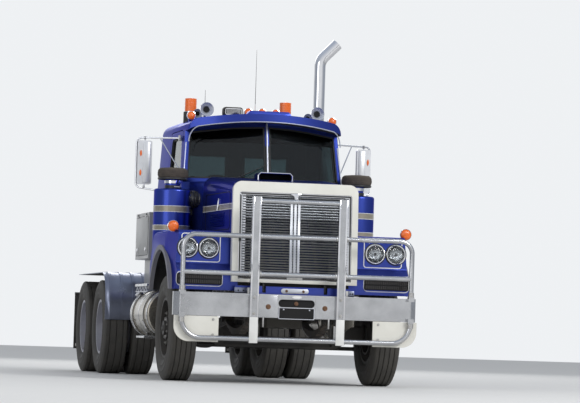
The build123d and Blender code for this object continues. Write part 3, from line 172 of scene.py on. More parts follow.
def makeWearGroup():
    # Bare or rubbed edges, found where a rounded normal leaves the true one
    group, given, out = newGroup(
        "edgeWear",
        (("Color", "Color", (0.5, 0.5, 0.5, 1)), ("Edge Color", "Color", (0.6, 0.6, 0.6, 1)),
         ("Amount", "Float", 0.5), ("Width", "Float", 0.006)),
        (("Color", "Color"), ("Mask", "Float")),
    )
    soft = node(group, "Bevel", {"samples": 4}, Radius=given.outputs["Width"]).outputs[0]
    true = node(group, "NewGeometry").outputs["Normal"]
    dot = node(group, "VectorMath", {"operation": "DOT_PRODUCT"}, i0=soft, i1=true).outputs["Value"]
    edge = remap(group, dot, 0.985, 0.86)
    chips = remap(group, noise(group, 45.0, 4.0), 0.42, 0.6)
    mask = maths(group, "MULTIPLY", maths(group, "MULTIPLY", edge, chips), given.outputs["Amount"], True)
    mixed = mixColour(group, mask, given.outputs["Color"], given.outputs["Edge Color"])
    feed(group, out, {"Color": mixed, "Mask": mask})
    return group


def makeGrainGroup():
    # Fine surface grain and a slow mottle, as colour, roughness and height
    group, given, out = newGroup(
        "grain",
        (("Color", "Color", (0.5, 0.5, 0.5, 1)), ("Second Color", "Color", (0.4, 0.4, 0.4, 1)),
         ("Mottle Scale", "Float", 4.0), ("Grain Scale", "Float", 300.0), ("Contrast", "Float", 0.5)),
        (("Color", "Color"), ("Mottle", "Float"), ("Height", "Float")),
    )
    coords = node(group, "TexCoord").outputs["Object"]
    slow = node(group, "TexNoise", Vector=coords, Scale=given.outputs["Mottle Scale"], Detail=5.0).outputs[0]
    fine = node(group, "TexNoise", Vector=coords, Scale=given.outputs["Grain Scale"], Detail=2.0).outputs[0]
    mottle = maths(group, "MULTIPLY", remap(group, slow, 0.35, 0.65), given.outputs["Contrast"])
    mixed = mixColour(group, mottle, given.outputs["Color"], given.outputs["Second Color"])
    feed(group, out, {"Color": mixed, "Mottle": mottle, "Height": fine})
    return group


dustGroup, wearGroup, grainGroup = makeDustGroup(), makeWearGroup(), makeGrainGroup()

plainFinish = {
    "colour": (0.5, 0.5, 0.5), "second": None, "mottleScale": 4.0, "mottle": 0.5, "grainScale": 300.0,
    "rough": 0.5, "roughSpread": 0.12, "metal": 0.0, "bump": 0.05, "bumpDepth": 0.001,
    "coat": 0.0, "coatRough": 0.05, "top": 0.15, "low": 0.2, "dust": (0.30, 0.26, 0.20), "dustScale": 6.0,
    "edge": None, "edgeAmount": 0.0, "edgeWidth": 0.004, "brush": None, "specular": 0.5,
    "edgeTint": (1.0, 1.0, 1.0),
}


def makeFinish(name, **changes):
    values = {**plainFinish, **changes}
    material, tree, shader = newMaterial(name)
    second = (*(values["second"] or [v * 0.72 for v in values["colour"]]), 1)
    grain = node(tree, "Group", {"node_tree": grainGroup}, Color=(*values["colour"], 1), Contrast=values["mottle"], **{
        "Second Color": second, "Mottle Scale": values["mottleScale"], "Grain Scale": values["grainScale"],
    })
    colour = grain.outputs["Color"]
    edgeMask = None
    if values["edge"]:
        wear = node(tree, "Group", {"node_tree": wearGroup}, Color=colour, Amount=values["edgeAmount"], **{
            "Edge Color": (*values["edge"], 1), "Width": values["edgeWidth"],
        })
        colour, edgeMask = wear.outputs["Color"], wear.outputs["Mask"]
    dust = node(tree, "Group", {"node_tree": dustGroup}, Color=colour, Top=values["top"], Low=values["low"], **{
        "Dust Color": (*values["dust"], 1), "Scale": values["dustScale"],
    })
    spread = remap(tree, grain.outputs["Mottle"], 0.0, 1.0, values["rough"], values["rough"] + values["roughSpread"])
    rough = maths(tree, "ADD", spread, maths(tree, "MULTIPLY", dust.outputs["Mask"], 0.45), True)
    if values["metal"] > 0:
        clean = remap(tree, dust.outputs["Mask"], 0.0, 0.8, values["metal"], values["metal"] * 0.2)
        feed(tree, shader, {"Metallic": clean})
    elif edgeMask:
        feed(tree, shader, {"Metallic": maths(tree, "MULTIPLY", edgeMask, 0.8)})
    height = grain.outputs["Height"]
    if values["brush"]:
        height = maths(tree, "ADD", height, noise(tree, 60.0, 2.0, 0.6, values["brush"]))
    feed(tree, shader, {
        "Base Color": dust.outputs["Color"], "Roughness": rough,
        "Normal": bumped(tree, height, values["bump"], values["bumpDepth"]),
        "Coat Weight": values["coat"], "Coat Roughness": values["coatRough"],
        "Specular IOR Level": values["specular"], "Specular Tint": (*values["edgeTint"], 1),
    })
    return material


finishes = {
    "bodyBlue": dict(colour=(0.040, 0.066, 0.350), second=(0.024, 0.042, 0.250), rough=0.28, roughSpread=0.06,
                     metal=0.85, coat=0.14, coatRough=0.03, bump=0.015, top=0.04, low=0.15, mottleScale=1.5,
                     specular=0.3, edgeTint=(0.10, 0.14, 0.55)),
    "offWhite": dict(colour=(0.76, 0.75, 0.69), second=(0.66, 0.64, 0.57), rough=0.30, coat=0.4, bump=0.02, top=0.1,
                     low=0.22, edge=(0.45, 0.42, 0.36), edgeAmount=0.35),
    "chassisBlack": dict(colour=(0.018, 0.018, 0.020), second=(0.030, 0.029, 0.027), rough=0.42, bump=0.12, top=0.4,
                         low=0.22, dust=(0.16, 0.14, 0.11), edge=(0.12, 0.11, 0.10), edgeAmount=0.4),
    "castBlack": dict(colour=(0.022, 0.022, 0.024), second=(0.040, 0.036, 0.032), rough=0.6, bump=0.5, bumpDepth=0.002,
                      grainScale=90, top=0.4, low=0.22, dust=(0.16, 0.14, 0.11), edge=(0.12, 0.10, 0.09),
                      edgeAmount=0.4),
    "springSteel": dict(colour=(0.045, 0.042, 0.040), second=(0.09, 0.058, 0.036), rough=0.55, bump=0.3, top=0.35,
                        low=0.25, dust=(0.17, 0.15, 0.12), mottleScale=12, edge=(0.2, 0.18, 0.16), edgeAmount=0.6),
    "enginePaint": dict(colour=(0.060, 0.056, 0.046), second=(0.035, 0.030, 0.024), bump=0.3, top=0.4,
                        dust=(0.12, 0.10, 0.08), mottleScale=7, edge=(0.2, 0.18, 0.16), edgeAmount=0.4),
    "trimDark": dict(colour=(0.030, 0.028, 0.026), rough=0.55, bump=0.35, grainScale=220, low=0.0),
    "liningGrey": dict(colour=(0.035, 0.036, 0.038), rough=0.8, bump=0.4, grainScale=160, top=0.0, low=0.0),
    "chrome": dict(colour=(0.78, 0.78, 0.80), second=(0.66, 0.66, 0.69), rough=0.05, roughSpread=0.07, metal=1.0,
                   bump=0.008, top=0.06, low=0.08, mottleScale=9),
    "polished": dict(colour=(0.56, 0.565, 0.58), second=(0.36, 0.365, 0.38), rough=0.14, roughSpread=0.18, metal=1.0,
                     top=0.10, low=0.08, mottleScale=5, mottle=0.65, brush=(1.0, 18.0, 18.0)),
    "tankMetal": dict(colour=(0.46, 0.44, 0.40), second=(0.30, 0.27, 0.22), rough=0.14, roughSpread=0.14, metal=1.0,
                      bump=0.04, top=0.16, low=0.12, mottleScale=3, mottle=0.8),
    # Steel whose blue-grey colour is a painted reflection of the sky
    "galvanised": dict(colour=(0.27, 0.30, 0.40), second=(0.18, 0.20, 0.28), rough=0.24, roughSpread=0.14, metal=0.95,
                       top=0.16, mottleScale=5),
    "greyPaint": dict(colour=(0.34, 0.34, 0.34), second=(0.27, 0.27, 0.265), rough=0.35, coat=0.2, bump=0.04,
                      top=0.25),
    "rubber": dict(colour=(0.018, 0.018, 0.018), rough=0.6, bump=0.2, dust=(0.14, 0.12, 0.10)),
    "grilleDark": dict(colour=(0.008, 0.008, 0.009), rough=0.55, top=0.02, low=0.02, specular=0.2),
    "finEdge": dict(colour=(0.060, 0.060, 0.062), second=(0.022, 0.022, 0.022), rough=0.42, metal=0.8, top=0.05),
    "toothMetal": dict(colour=(0.80, 0.82, 0.86), second=(0.62, 0.63, 0.66), rough=0.35, metal=0.55, bump=0.02,
                       top=0.06),
    "wheelBlack": dict(colour=(0.020, 0.020, 0.022), second=(0.040, 0.036, 0.032), bump=0.3, grainScale=120,
                       dust=(0.15, 0.13, 0.10), edge=(0.13, 0.12, 0.10), edgeAmount=0.5),
    "wheelSilver": dict(colour=(0.42, 0.43, 0.50), second=(0.30, 0.30, 0.36), rough=0.4, metal=0.35, top=0.2, low=0.3),
    "mirrorSilver": dict(colour=(0.70, 0.71, 0.73), rough=0.3, metal=0.5, coat=0.5, bump=0.02, top=0.06, low=0.0),
    "plateSteel": dict(colour=(0.12, 0.115, 0.11), second=(0.05, 0.045, 0.04), rough=0.35, roughSpread=0.3, metal=0.8,
                       bump=0.2, mottleScale=9, mottle=0.9, top=0.1),
    "whitePaint": dict(colour=(0.80, 0.80, 0.78), rough=0.4, bump=0.02, top=0.1),
    "bandGold": dict(colour=(0.30, 0.27, 0.21), second=(0.24, 0.21, 0.16), rough=0.35, metal=0.3, coat=0.6, top=0.05,
                     low=0.05),
    "foam": dict(colour=(0.055, 0.045, 0.038), second=(0.10, 0.08, 0.065), rough=0.9, bump=0.9, bumpDepth=0.006,
                 grainScale=150, mottleScale=20, top=0.2, low=0.0),
    "mirrorGlass": dict(colour=(0.85, 0.86, 0.88), rough=0.02, roughSpread=0.02, metal=1.0, bump=0.0, top=0.02,
                        low=0.0),
    "lampBowl": dict(colour=(0.92, 0.92, 0.93), second=(0.62, 0.62, 0.62), rough=0.16, metal=0.85, bump=0.08,
                     grainScale=60, mottleScale=30, top=0.0, low=0.0),
    "rustBolt": dict(colour=(0.16, 0.07, 0.03), second=(0.07, 0.035, 0.02), rough=0.8, bump=0.6, mottleScale=60,
                     top=0.1),
    "zinc": dict(second=(0.32, 0.30, 0.27), rough=0.3, metal=0.95, bump=0.1, mottleScale=40),
    "brightPlate": dict(colour=(0.62, 0.64, 0.70), second=(0.46, 0.47, 0.53), rough=0.3, metal=0.7, top=0.1),
    "hose": dict(colour=(0.030, 0.030, 0.032), rough=0.24, bump=0.10, grainScale=180, top=0.12, low=0.1, specular=0.9,
                 coat=0.5),
    "copperPipe": dict(colour=(0.30, 0.17, 0.08), second=(0.14, 0.08, 0.05), rough=0.4, metal=0.9, bump=0.1),
    "dialFace": dict(colour=(0.012, 0.012, 0.013), rough=0.3, coat=0.6, bump=0.02, top=0.0, low=0.0),
}
finish = {name: makeFinish(name, **values) for name, values in finishes.items()}
print("Finishes ready:", len(finish))


def makeGlass(name, colour, rough=0.02):
    material, tree, shader = newMaterial(name)
    film = node(tree, "Group", {"node_tree": dustGroup}, Color=(*colour, 1), Top=0.1, Low=0.1)
    smear = remap(tree, noise(tree, 7.0, 4.0), 0.4, 0.7, rough, rough + 0.05)
    feed(tree, shader, {
        "Base Color": film.outputs["Color"], "Roughness": smear, "Transmission Weight": 1.0, "IOR": 1.45,
    })
    return material


finish["glass"] = makeGlass("glass", (0.13, 0.19, 0.20))
# Near-black glass for the painted shade band across the top of the windscreen
finish["paintedShadeGlass"] = makeGlass("paintedShadeGlass", (0.010, 0.012, 0.014))


def makeFlutedGlass():
    # Headlamp glass, moulded with upright flutes and a coarser cross pattern
    material = makeGlass("fluted", (0.90, 0.93, 0.95), 0.04)
    tree = material.node_tree
    coords = node(tree, "TexCoord").outputs["Object"]
    flutes = node(tree, "TexWave", {"bands_direction": "X"}, Vector=coords, Scale=22.0).outputs[1]
    steps = node(tree, "TexWave", {"bands_direction": "Z"}, Vector=coords, Scale=7.0).outputs[1]
    height = maths(tree, "ADD", flutes, maths(tree, "MULTIPLY", steps, 0.5))
    feed(tree, tree.nodes["Principled BSDF"], {"Normal": bumped(tree, height, 0.8, 0.004)})
    return material


finish["fluted"] = makeFlutedGlass()


def makeLens(name, colour, ribs, glow):
    # Moulded lamp lens: coloured, with fine ribs inside, and a little light of its own
    material, tree, shader = newMaterial(name)
    grain = node(tree, "Group", {"node_tree": grainGroup}, Color=(*colour, 1), Contrast=0.4, **{
        "Second Color": (*[v * 0.6 for v in colour], 1),
    })
    coords = node(tree, "TexCoord").outputs["Object"]
    wave = node(tree, "TexWave", {"bands_direction": "X"}, Vector=coords, Scale=ribs, Distortion=0.3)
    feed(tree, shader, {
        "Base Color": grain.outputs["Color"], "Normal": bumped(tree, wave.outputs[1], 0.35, 0.002),
        "Roughness": remap(tree, grain.outputs["Mottle"], 0.0, 0.4, 0.12, 0.25),
        "Emission Color": grain.outputs["Color"], "Emission Strength": glow, "Coat Weight": 0.6,
    })
    return material


for name, colour, ribs, glow in (
    ("amberLens", (0.86, 0.145, 0.0015), 40, 0.05), ("smokedAmber", (0.016, 0.010, 0.009), 60, 0.0),
    ("redLens", (0.55, 0.01, 0.008), 40, 0.05), ("clearLens", (0.42, 0.44, 0.44), 60, 0.0),
):
    finish[name] = makeLens(name, colour, ribs, glow)


def makeTyreRubber():
    # Tyre rubber: near black tread, browner dusty side walls
    material, tree, shader = newMaterial("tyreRubber")
    normal = node(tree, "TexCoord").outputs["Normal"]
    outward = maths(tree, "ABSOLUTE", node(tree, "SeparateXYZ", Vector=normal).outputs[0])
    wall = remap(tree, outward, 0.4, 0.95)
    patches = remap(tree, noise(tree, 9.0, 5.0), 0.3, 0.7, 0.25, 1.0)
    colour = mixColour(tree, maths(tree, "MULTIPLY", wall, patches), (0.034, 0.032, 0.029, 1), (0.030, 0.028, 0.026, 1))
    dusty = mixColour(tree, maths(tree, "MULTIPLY", patches, 0.40), colour, (0.125, 0.115, 0.098, 1))
    feed(tree, shader, {
        "Base Color": dusty, "Roughness": remap(tree, patches, 0.25, 1.0, 0.62, 0.85),
        "Normal": bumped(tree, noise(tree, 260.0, 2.0), 0.25, 0.001),
    })
    return material


def makeSeatCloth():
    # Woven seat cloth: two crossed waves as weave
    material, tree, shader = newMaterial("seatCloth")
    coords = node(tree, "TexCoord").outputs["Object"]
    warp = node(tree, "TexWave", {"bands_direction": "X"}, Vector=coords, Scale=130.0).outputs[1]
    weft = node(tree, "TexWave", {"bands_direction": "DIAGONAL"}, Vector=coords, Scale=130.0).outputs[1]
    weave = maths(tree, "MAXIMUM", warp, weft)
    colour = mixColour(tree, weave, (0.045, 0.040, 0.045, 1), (0.14, 0.13, 0.14, 1))
    feed(tree, shader, {
        "Base Color": colour, "Roughness": remap(tree, weave, 0, 1, 0.75, 0.95),
        "Normal": bumped(tree, weave, 0.4, 0.001), "Sheen Weight": 0.3,
    })
    return material


finish["tyre"] = makeTyreRubber()
finish["seatCloth"] = makeSeatCloth()


# Directions, and the right and up of a flat shape that faces forward
forward, rearward, upward, sideways = (0, -1, 0), (0, 1, 0), (0, 0, 1), (1, 0, 0)
facing = (sideways, upward)


# Small makers: each returns a bmesh that is then put into a piece
def blockShape(low, high, bevel=0.0, steps=2):
    bm = bmesh.new()
    bmesh.ops.create_cube(bm, size=1.0)
    low, high = Vector(low), Vector(high)
    size = Vector([abs(v) for v in high - low])
    bmesh.ops.scale(bm, vec=size, verts=bm.verts)
    bmesh.ops.translate(bm, vec=(high + low) / 2, verts=bm.verts)
    if bevel:
        bevelEdges(bm, bm.edges, bevel, steps)
    return bm


def bevelEdges(bm, edges, width, steps=2):
    bmesh.ops.bevel(
        bm, geom=list(edges), offset=width, offset_type="OFFSET", segments=steps, profile=0.5,
        affect="EDGES", clamp_overlap=True, material=-1,
    )


def sharpEdges(bm, angle=40):
    return [edge for edge in bm.edges if edge.is_manifold and edge.calc_face_angle(0) > math.radians(angle)]


def rodShape(start, end, radius, endRadius=None, segments=24, bevel=0.0):
    start, end = Vector(start), Vector(end)
    bm = bmesh.new()
    length = (end - start).length
    bmesh.ops.create_cone(
        bm, cap_ends=True, cap_tris=False, segments=segments, radius1=radius,
        radius2=radius if endRadius is None else endRadius, depth=length,
    )
    if bevel:
        bevelEdges(bm, sharpEdges(bm, 50), bevel)
    turn = (end - start).to_track_quat("Z", "Y").to_matrix().to_4x4()
    bm.transform(Matrix.Translation((start + end) / 2) @ turn)
    return bm


def latheShape(profile, centre, axis, segments=48):
    bm = bmesh.new()
    ring = [bm.verts.new((radius, 0, along)) for radius, along in profile]
    edges = [bm.edges.new(pair) for pair in zip(ring, ring[1:])]
    bmesh.ops.spin(
        bm, geom=ring + edges, cent=(0, 0, 0), axis=(0, 0, 1), angle=math.tau, steps=segments, use_merge=True,
    )
    bmesh.ops.remove_doubles(bm, verts=bm.verts, dist=0.00001)
    bmesh.ops.recalc_face_normals(bm, faces=bm.faces)
    turn = Vector(axis).to_track_quat("Z", "Y").to_matrix().to_4x4()
    bm.transform(Matrix.Translation(Vector(centre)) @ turn)
    return bm


def roundedPath(points, bend, steps=6):
    points = [Vector(point) for point in points]
    path = [points[0]]
    for before, corner, after in zip(points, points[1:], points[2:]):
        toBefore, toAfter = (before - corner).normalized(), (after - corner).normalized()
        half = toBefore.angle(toAfter) / 2
        reach = min(bend / math.tan(half), (before - corner).length * 0.5, (after - corner).length * 0.5)
        start, end = corner + toBefore * reach, corner + toAfter * reach
        for step in range(steps + 1):
            t = step / steps
            path.append(start.lerp(corner, t).lerp(corner.lerp(end, t), t))
    return path + [points[-1]]


def tubeShape(points, radius, closed=False, sides=4):
    curve = bpy.data.curves.new("tube", "CURVE")
    curve.dimensions = "3D"
    curve.bevel_depth = radius
    curve.bevel_resolution = sides
    curve.use_fill_caps = True
    spline = curve.splines.new("POLY")
    spline.points.add(len(points) - 1)
    for point, place in zip(spline.points, points):
        point.co = (*place, 1)
    spline.use_cyclic_u = closed
    holder = bpy.data.objects.new("tube", curve)
    mesh = bpy.data.meshes.new_from_object(holder)
    bm = bmesh.new()
    bm.from_mesh(mesh)
    bmesh.ops.recalc_face_normals(bm, faces=bm.faces)
    bpy.data.objects.remove(holder)
    bpy.data.curves.remove(curve)
    bpy.data.meshes.remove(mesh)
    return bm


def flatFace(outline, place, right, up):
    bm = bmesh.new()
    right, up = Vector(right).normalized(), Vector(up).normalized()
    face = bm.faces.new([bm.verts.new(Vector(place) + right * u + up * v) for u, v in outline])
    return bm, face, right.cross(up)


def raiseFaces(bm, faces, move):
    grown = bmesh.ops.extrude_face_region(bm, geom=faces)["geom"]
    bmesh.ops.translate(bm, vec=move, verts=[item for item in grown if isinstance(item, bmesh.types.BMVert)])


def prismShape(outline, depth, place, right, up, bevel=0.0, steps=2):
    bm, face, out = flatFace(outline, place, right, up)
    raiseFaces(bm, [face], out * depth)
    bmesh.ops.recalc_face_normals(bm, faces=bm.faces)
    if bevel:
        bevelEdges(bm, sharpEdges(bm), bevel, steps)
    return bm


def bandProfile(radius, low, high, rise):
    # A ring round a turned part, as a profile for latheShape
    return [(radius, low), (radius + rise, low), (radius + rise, high), (radius, high)]


def scaled(profile, radius, shift=0.0):
    # A profile whose radii are given as shares of one radius
    return [(radius * share, shift + along) for share, along in profile]


def evenly(near, far, count):
    return [near + (far - near) * index / (count - 1) for index in range(count)]


def put(target, part, material=0):
    if material is not None:  # None keeps the materials that the part already has
        for face in part.faces:
            face.material_index = material
    mesh = bpy.data.meshes.new("part")
    part.to_mesh(mesh)
    part.free()
    target.from_mesh(mesh)
    bpy.data.meshes.remove(mesh)


def mirrored(bm):
    copy = bm.copy()
    bmesh.ops.scale(copy, vec=(-1, 1, 1), verts=copy.verts)
    bmesh.ops.reverse_faces(copy, faces=copy.faces)
    return copy


def putBoth(target, part, material=0):
    put(target, mirrored(part), material)
    put(target, part, material)


def makePiece(name, bm, materials, body, replaced=(), angle=32):
    mesh = bpy.data.meshes.new(name)
    bm.to_mesh(mesh)
    bm.free()
    for material in materials:
        mesh.materials.append(finish[material])
    mesh.polygons.foreach_set("use_smooth", [True] * len(mesh.polygons))
    mesh.set_sharp_from_angle(angle=math.radians(angle))
    piece = bpy.data.objects.new(name, mesh)
    scene.collection.objects.link(piece)
    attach(piece, body)
    if replaced:
        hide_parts(*replaced)
    return piece


def addBevel(piece, width, steps=2, angle=38):
    modifier = piece.modifiers.new("rounded edges", "BEVEL")
    modifier.width = width
    modifier.segments = steps
    modifier.limit_method = "ANGLE"
    modifier.angle_limit = math.radians(angle)


def cadCopy(name):
    bm = bmesh.new()
    bm.from_mesh(frame["nodes"][name].data)
    bmesh.ops.remove_doubles(bm, verts=bm.verts, dist=0.00003)
    bmesh.ops.dissolve_limit(
        bm, angle_limit=math.radians(0.5), use_dissolve_boundaries=False, verts=bm.verts, edges=bm.edges,
    )
    return bm


def dress(name, material, bevel, rules=()):
    # Each rule is a material and a test on a face's middle (x, behind the axle, z) and its normal
    bm = cadCopy(name)
    for face in bm.faces:
        spot = face.calc_center_median()
        spot.y -= axleY
        hits = [index for index, (other, test) in enumerate(rules, 1) if test(spot, face.normal)]
        face.material_index = hits[0] if hits else 0
    materials = (material, *[other for other, test in rules])
    piece = makePiece(name + "_skin", bm, materials, bodyOfNode[name], (name,))
    if bevel:
        addBevel(piece, bevel)
    return piece


def boltShape(place, axis, radius=0.012):
    place, axis = Vector(place), Vector(axis).normalized()
    bm = rodShape(place, place + axis * radius * 0.35, radius * 1.5, segments=14)
    put(bm, rodShape(place, place + axis * radius * 1.1, radius, radius * 0.92, 6))
    return bm


def raisedRim(bm, panes, width, move):
    ring = bmesh.ops.inset_region(bm, faces=panes, thickness=width, use_even_offset=True, use_boundary=True)["faces"]
    bmesh.ops.delete(bm, geom=panes, context="FACES_ONLY")
    raiseFaces(bm, ring, move)
    bmesh.ops.recalc_face_normals(bm, faces=bm.faces)
    return bm


def frameShape(outline, width, depth, place, right, up):
    # A flat outline with its middle cut out, such as a seal, pinstripe or border
    bm, face, out = flatFace(outline, place, right, up)
    face.normal_update()
    return raisedRim(bm, [face], width, out * depth)


def roundedBox(halfWidth, low, high, corner, steps=5, middle=0.0):
    # Outline of a rectangle with round corners, going round anticlockwise
    points = []
    for u, v, start in (
        (halfWidth - corner, low + corner, -90), (halfWidth - corner, high - corner, 0),
        (corner - halfWidth, high - corner, 90), (corner - halfWidth, low + corner, 180),
    ):
        for step in range(steps + 1):
            turn = math.radians(start + 90 * step / steps)
            points.append((middle + u + corner * math.cos(turn), v + corner * math.sin(turn)))
    return points


def paneRim(name, keep, width, rise):
    # A seal along the edge of a pane that the CAD holds
    bm = cadCopy(name)
    bmesh.ops.delete(bm, geom=[face for face in bm.faces if not keep(face)], context="FACES")
    bmesh.ops.dissolve_limit(bm, angle_limit=math.radians(3), verts=bm.verts, edges=bm.edges)
    panes = bm.faces[:]
    return raisedRim(bm, panes, width, panes[0].normal * rise)


# What each carried-over part is finished in, how round its edges are (metres), and which of its
# faces differ. A test gets a face's middle, measured from the front axle line, and its normal.
grilleInner = 0.546  # half width inside the grille's frame


def insideCab(spot, normal):
    deep = abs(spot.x) < 0.812 and 0.78 < spot.y < 2.61 and 1.12 < spot.z < 2.735
    return deep and normal.dot(Vector((0, 1.7, 1.9)) - spot) > 0


dressing = {
    "frame": ("chassisBlack", 0.003, (("bodyBlue", lambda s, n: s.y < -0.818 and abs(s.x) < 0.601 and s.z > 0.86),)),
    "front_axle": ("castBlack", 0.006, ()),
    "suspension": ("springSteel", 0.002, ()),
    "rear_axles": ("castBlack", 0.006, ()),
    "engine": ("enginePaint", 0.012, ()),
    "driveline": ("castBlack", 0.006, ()),
    "radiator": ("chassisBlack", 0.006, ()),
    "cab_shell": ("bodyBlue", 0.005, (("liningGrey", insideCab),)),
    "cab_glass": ("glass", 0.0, ()),
    "dashboard": ("trimDark", 0.02, ()),
    "seats": ("seatCloth", 0.02, ()),
    "roof_lamps": ("bodyBlue", 0.004, (
        ("amberLens", lambda s, n: s.y < 1.165 and n.y < -0.9),
        ("amberLens", lambda s, n: s.y > 1.42 and s.z > 2.83),
        ("trimDark", lambda s, n: s.y > 1.42),
    )),
    "exhaust": ("chrome", 0.0, (
        ("castBlack", lambda s, n: s.z < 1.33),
        ("grilleDark", lambda s, n: s.z > 2.4 and n.dot(Vector((0.955, 2.8, s.z)) - s) > 0.03 and s.x < 1.02),
    )),
    "air_cleaners": ("bodyBlue", 0.004, (
        ("foam", lambda s, n: s.z > 2.066),
        ("chassisBlack", lambda s, n: abs(s.x) < 0.79),
    )),
    "fuel_tanks": ("tankMetal", 0.0, (
        ("rubber", lambda s, n: math.hypot(abs(s.x) - 0.93, s.z - 0.67) > 0.2515),
        ("chassisBlack", lambda s, n: abs(s.x) < 0.68),
    )),
    "steps": ("polished", 0.003, (("chassisBlack", lambda s, n: 0.45 < s.z < 0.95),)),
    # The mudguards' blue-grey is a painted sky reflection
    "mudguards": ("galvanised", 0.0, (
        ("chassisBlack", lambda s, n: abs(s.x) < 0.598),
        ("rubber", lambda s, n: n.dot(Vector((s.x, 4.9, 0.7)) - s) > 0.35 and abs(n.x) < 0.3),
    )),
    "mudflaps": ("rubber", 0.002, (("chassisBlack", lambda s, n: s.z > 0.895),)),
    "fifth_wheel": ("plateSteel", 0.006, ()),
    "rear_locker": ("greyPaint", 0.006, ()),
    "battery_box": ("chassisBlack", 0.006, ()),
    "air_tanks": ("chassisBlack", 0.01, ()),
    "tail_lamps": ("redLens", 0.005, ()),
    "hood_shell": ("bodyBlue", 0.003, (
        ("chassisBlack", lambda s, n: n.dot(Vector((0, s.y, 1.4)) - s) > 0.05 and s.z < 2.06),
        # Near-black faces inside the scoop mouth are painted shade
        ("grilleDark", lambda s, n: 0.30 < s.y < 0.56 and n.dot(Vector((0, 0.40, 2.08)) - s) > 0.005),
    )),
    "grille_surround": ("offWhite", 0.008, (
        ("rubber", lambda s, n: abs(s.x) < 0.572 and 1.03 < s.z < 1.896 and abs(n.y) < 0.5),
        ("chassisBlack", lambda s, n: n.y > 0.9 or s.z < 0.99),
    )),
    "grille": ("grilleDark", 0.0, (
        ("toothMetal", lambda s, n: abs(s.x) < 0.051 and s.y < -0.70),
        ("toothMetal", lambda s, n: abs(s.x) > 0.5015 and n.y < -0.8),
        ("chrome", lambda s, n: abs(s.x) > grilleInner - 0.001 or s.z < 1.0575 or s.z > 1.8695),
        ("finEdge", lambda s, n: n.y < -0.8),
    )),
    "fenders": ("bodyBlue", 0.004, (
        ("chassisBlack", lambda s, n: n.y > 0.5 and s.y < -0.55),
        ("greyDust", lambda s, n: math.hypot(s.y, s.z - 0.69) < 0.672 and (abs(s.x) > 1.2215 or abs(n.x) < 0.5)),
        ("chassisBlack", lambda s, n: n.dot(Vector((0.8 if s.x > 0 else -0.8, 0, 1.0)) - s) > 0.12),
    )),
    "bumper": ("polished", 0.003, (("grilleDark", lambda s, n: s.y > -0.934 and n.y > 0.5),)),
    "bull_bar_frame": ("polished", 0.003, (
        ("whitePaint", lambda s, n: s.z < 0.654 and 0.38 < abs(s.x) < 0.48 and s.y < -0.93),
        ("chassisBlack", lambda s, n: s.y > -0.94 and s.z < 0.62),
    )),
    "corner_plates": ("offWhite", 0.0015, ()),
    "track_rod": ("chassisBlack", 0.003, ()),
    "steering_wheel": ("trimDark", 0.003, ()),
    "door_": ("bodyBlue", 0.004, (("liningGrey", insideCab),)),
    "door_glass_": ("glass", 0.0, ()),
    "mirror_": ("chrome", 0.002, (
        ("mirrorGlass", lambda s, n: n.y > 0.9 and 1.10 < abs(s.x) < 1.26 and s.z < 2.495),
        ("mirrorSilver", lambda s, n: 1.10 < abs(s.x) < 1.257 and 2.028 < s.z < 2.492
         and (abs(s.y - 1.4887) > 0.012 or abs(abs(s.x) - 1.18) > 0.012)),
    )),
    "knuckle_": ("castBlack", 0.004, ()),
    "wheel_front_": ("wheelBlack", 0.004, ()),
    "wheel_rear_1_": ("wheelSilver", 0.004, (("castBlack", lambda s, n: abs(s.x) < 0.78),)),
    "wheel_rear_2_": ("wheelSilver", 0.004, (("castBlack", lambda s, n: abs(s.x) < 0.78),)),
}
finish["greyDust"] = makeFinish(
    "greyDust", colour=(0.20, 0.20, 0.23), second=(0.14, 0.15, 0.20), rough=0.6, bump=0.3, mottleScale=9, top=0.3,
    low=0.4,
)
for key, (material, bevel, rules) in dressing.items():
    for name in [key + side for side, sign in sides] if key.endswith("_") else [key]:
        dress(name, material, bevel, rules)
print("Carried-over parts finished:", len(dressing))

# Tyres: a turned carcass, with ribs on the front axle and cut blocks on the rear ones
tyre = {
    "radius": 0.525, "half": 0.140, "tread": 0.116, "bead": 0.105, "beadRadius": 0.291,
    "grooveDepth": 0.013, "grooveWidth": 0.009, "lugs": 54, "segments": 96,
    "duals": 0.160,  # each rear tyre's middle, either side of the pair's
}
rearStations = (4.230, 5.550)
frontHalfTrack, rearHalfTrack = 1.037, 0.920


def tyreProfile(grooves, values):
    radius, half, tread = values["radius"], values["half"], values["tread"]
    beadRadius, bead = values["beadRadius"], values["bead"]
    wall = [
        (beadRadius, bead), (beadRadius + 0.022, bead + 0.004), (beadRadius + 0.040, half - 0.012),
        (0.362, half - 0.003), (0.378, half + 0.001), (0.384, half - 0.002), (0.430, half), (0.436, half + 0.003),
        (0.444, half), (0.470, half - 0.004), (0.492, half - 0.008), (0.512, tread + 0.007), (0.521, tread + 0.001),
        (0.5235, tread - 0.006),
    ]
    top = []
    for place in grooves:
        near, far = place + values["grooveWidth"] / 2, place - values["grooveWidth"] / 2
        crown = radius - 0.004 * (place / tread) ** 2
        top += [
            (crown, near), (crown - values["grooveDepth"], near - 0.001),
            (crown - values["grooveDepth"], far + 0.001), (crown, far),
        ]
    other = [(r, -a) for r, a in reversed(wall)]
    inside = [(beadRadius + 0.012, -bead + 0.012), (beadRadius + 0.012, bead - 0.012)]
    return wall + top + other + inside + [wall[0]]


def tyreShape(middle, station, grooves, lugs, values):
    axle = Vector((middle, axleY + station, axleZ))
    bm = latheShape(tyreProfile(grooves, values), axle, sideways, values["segments"])
    block = blockShape((-0.0135, -0.009, 0), (0.0135, 0.009, 0.0035))
    for index in range(lugs):
        for place, lean in ((-0.097, 0.35), (-0.050, -0.35), (0.050, 0.35), (0.097, -0.35)):
            angle = math.tau * (index + 0.25 * (place > 0)) / lugs
            lug = block.copy()
            lug.transform(
                Matrix.Translation(axle) @ Matrix.Rotation(angle, 4, "X")
                @ Matrix.Translation((place, 0, values["radius"] - 0.0035)) @ Matrix.Rotation(lean, 4, "Z")
            )
            put(bm, lug)
    block.free()
    return bm


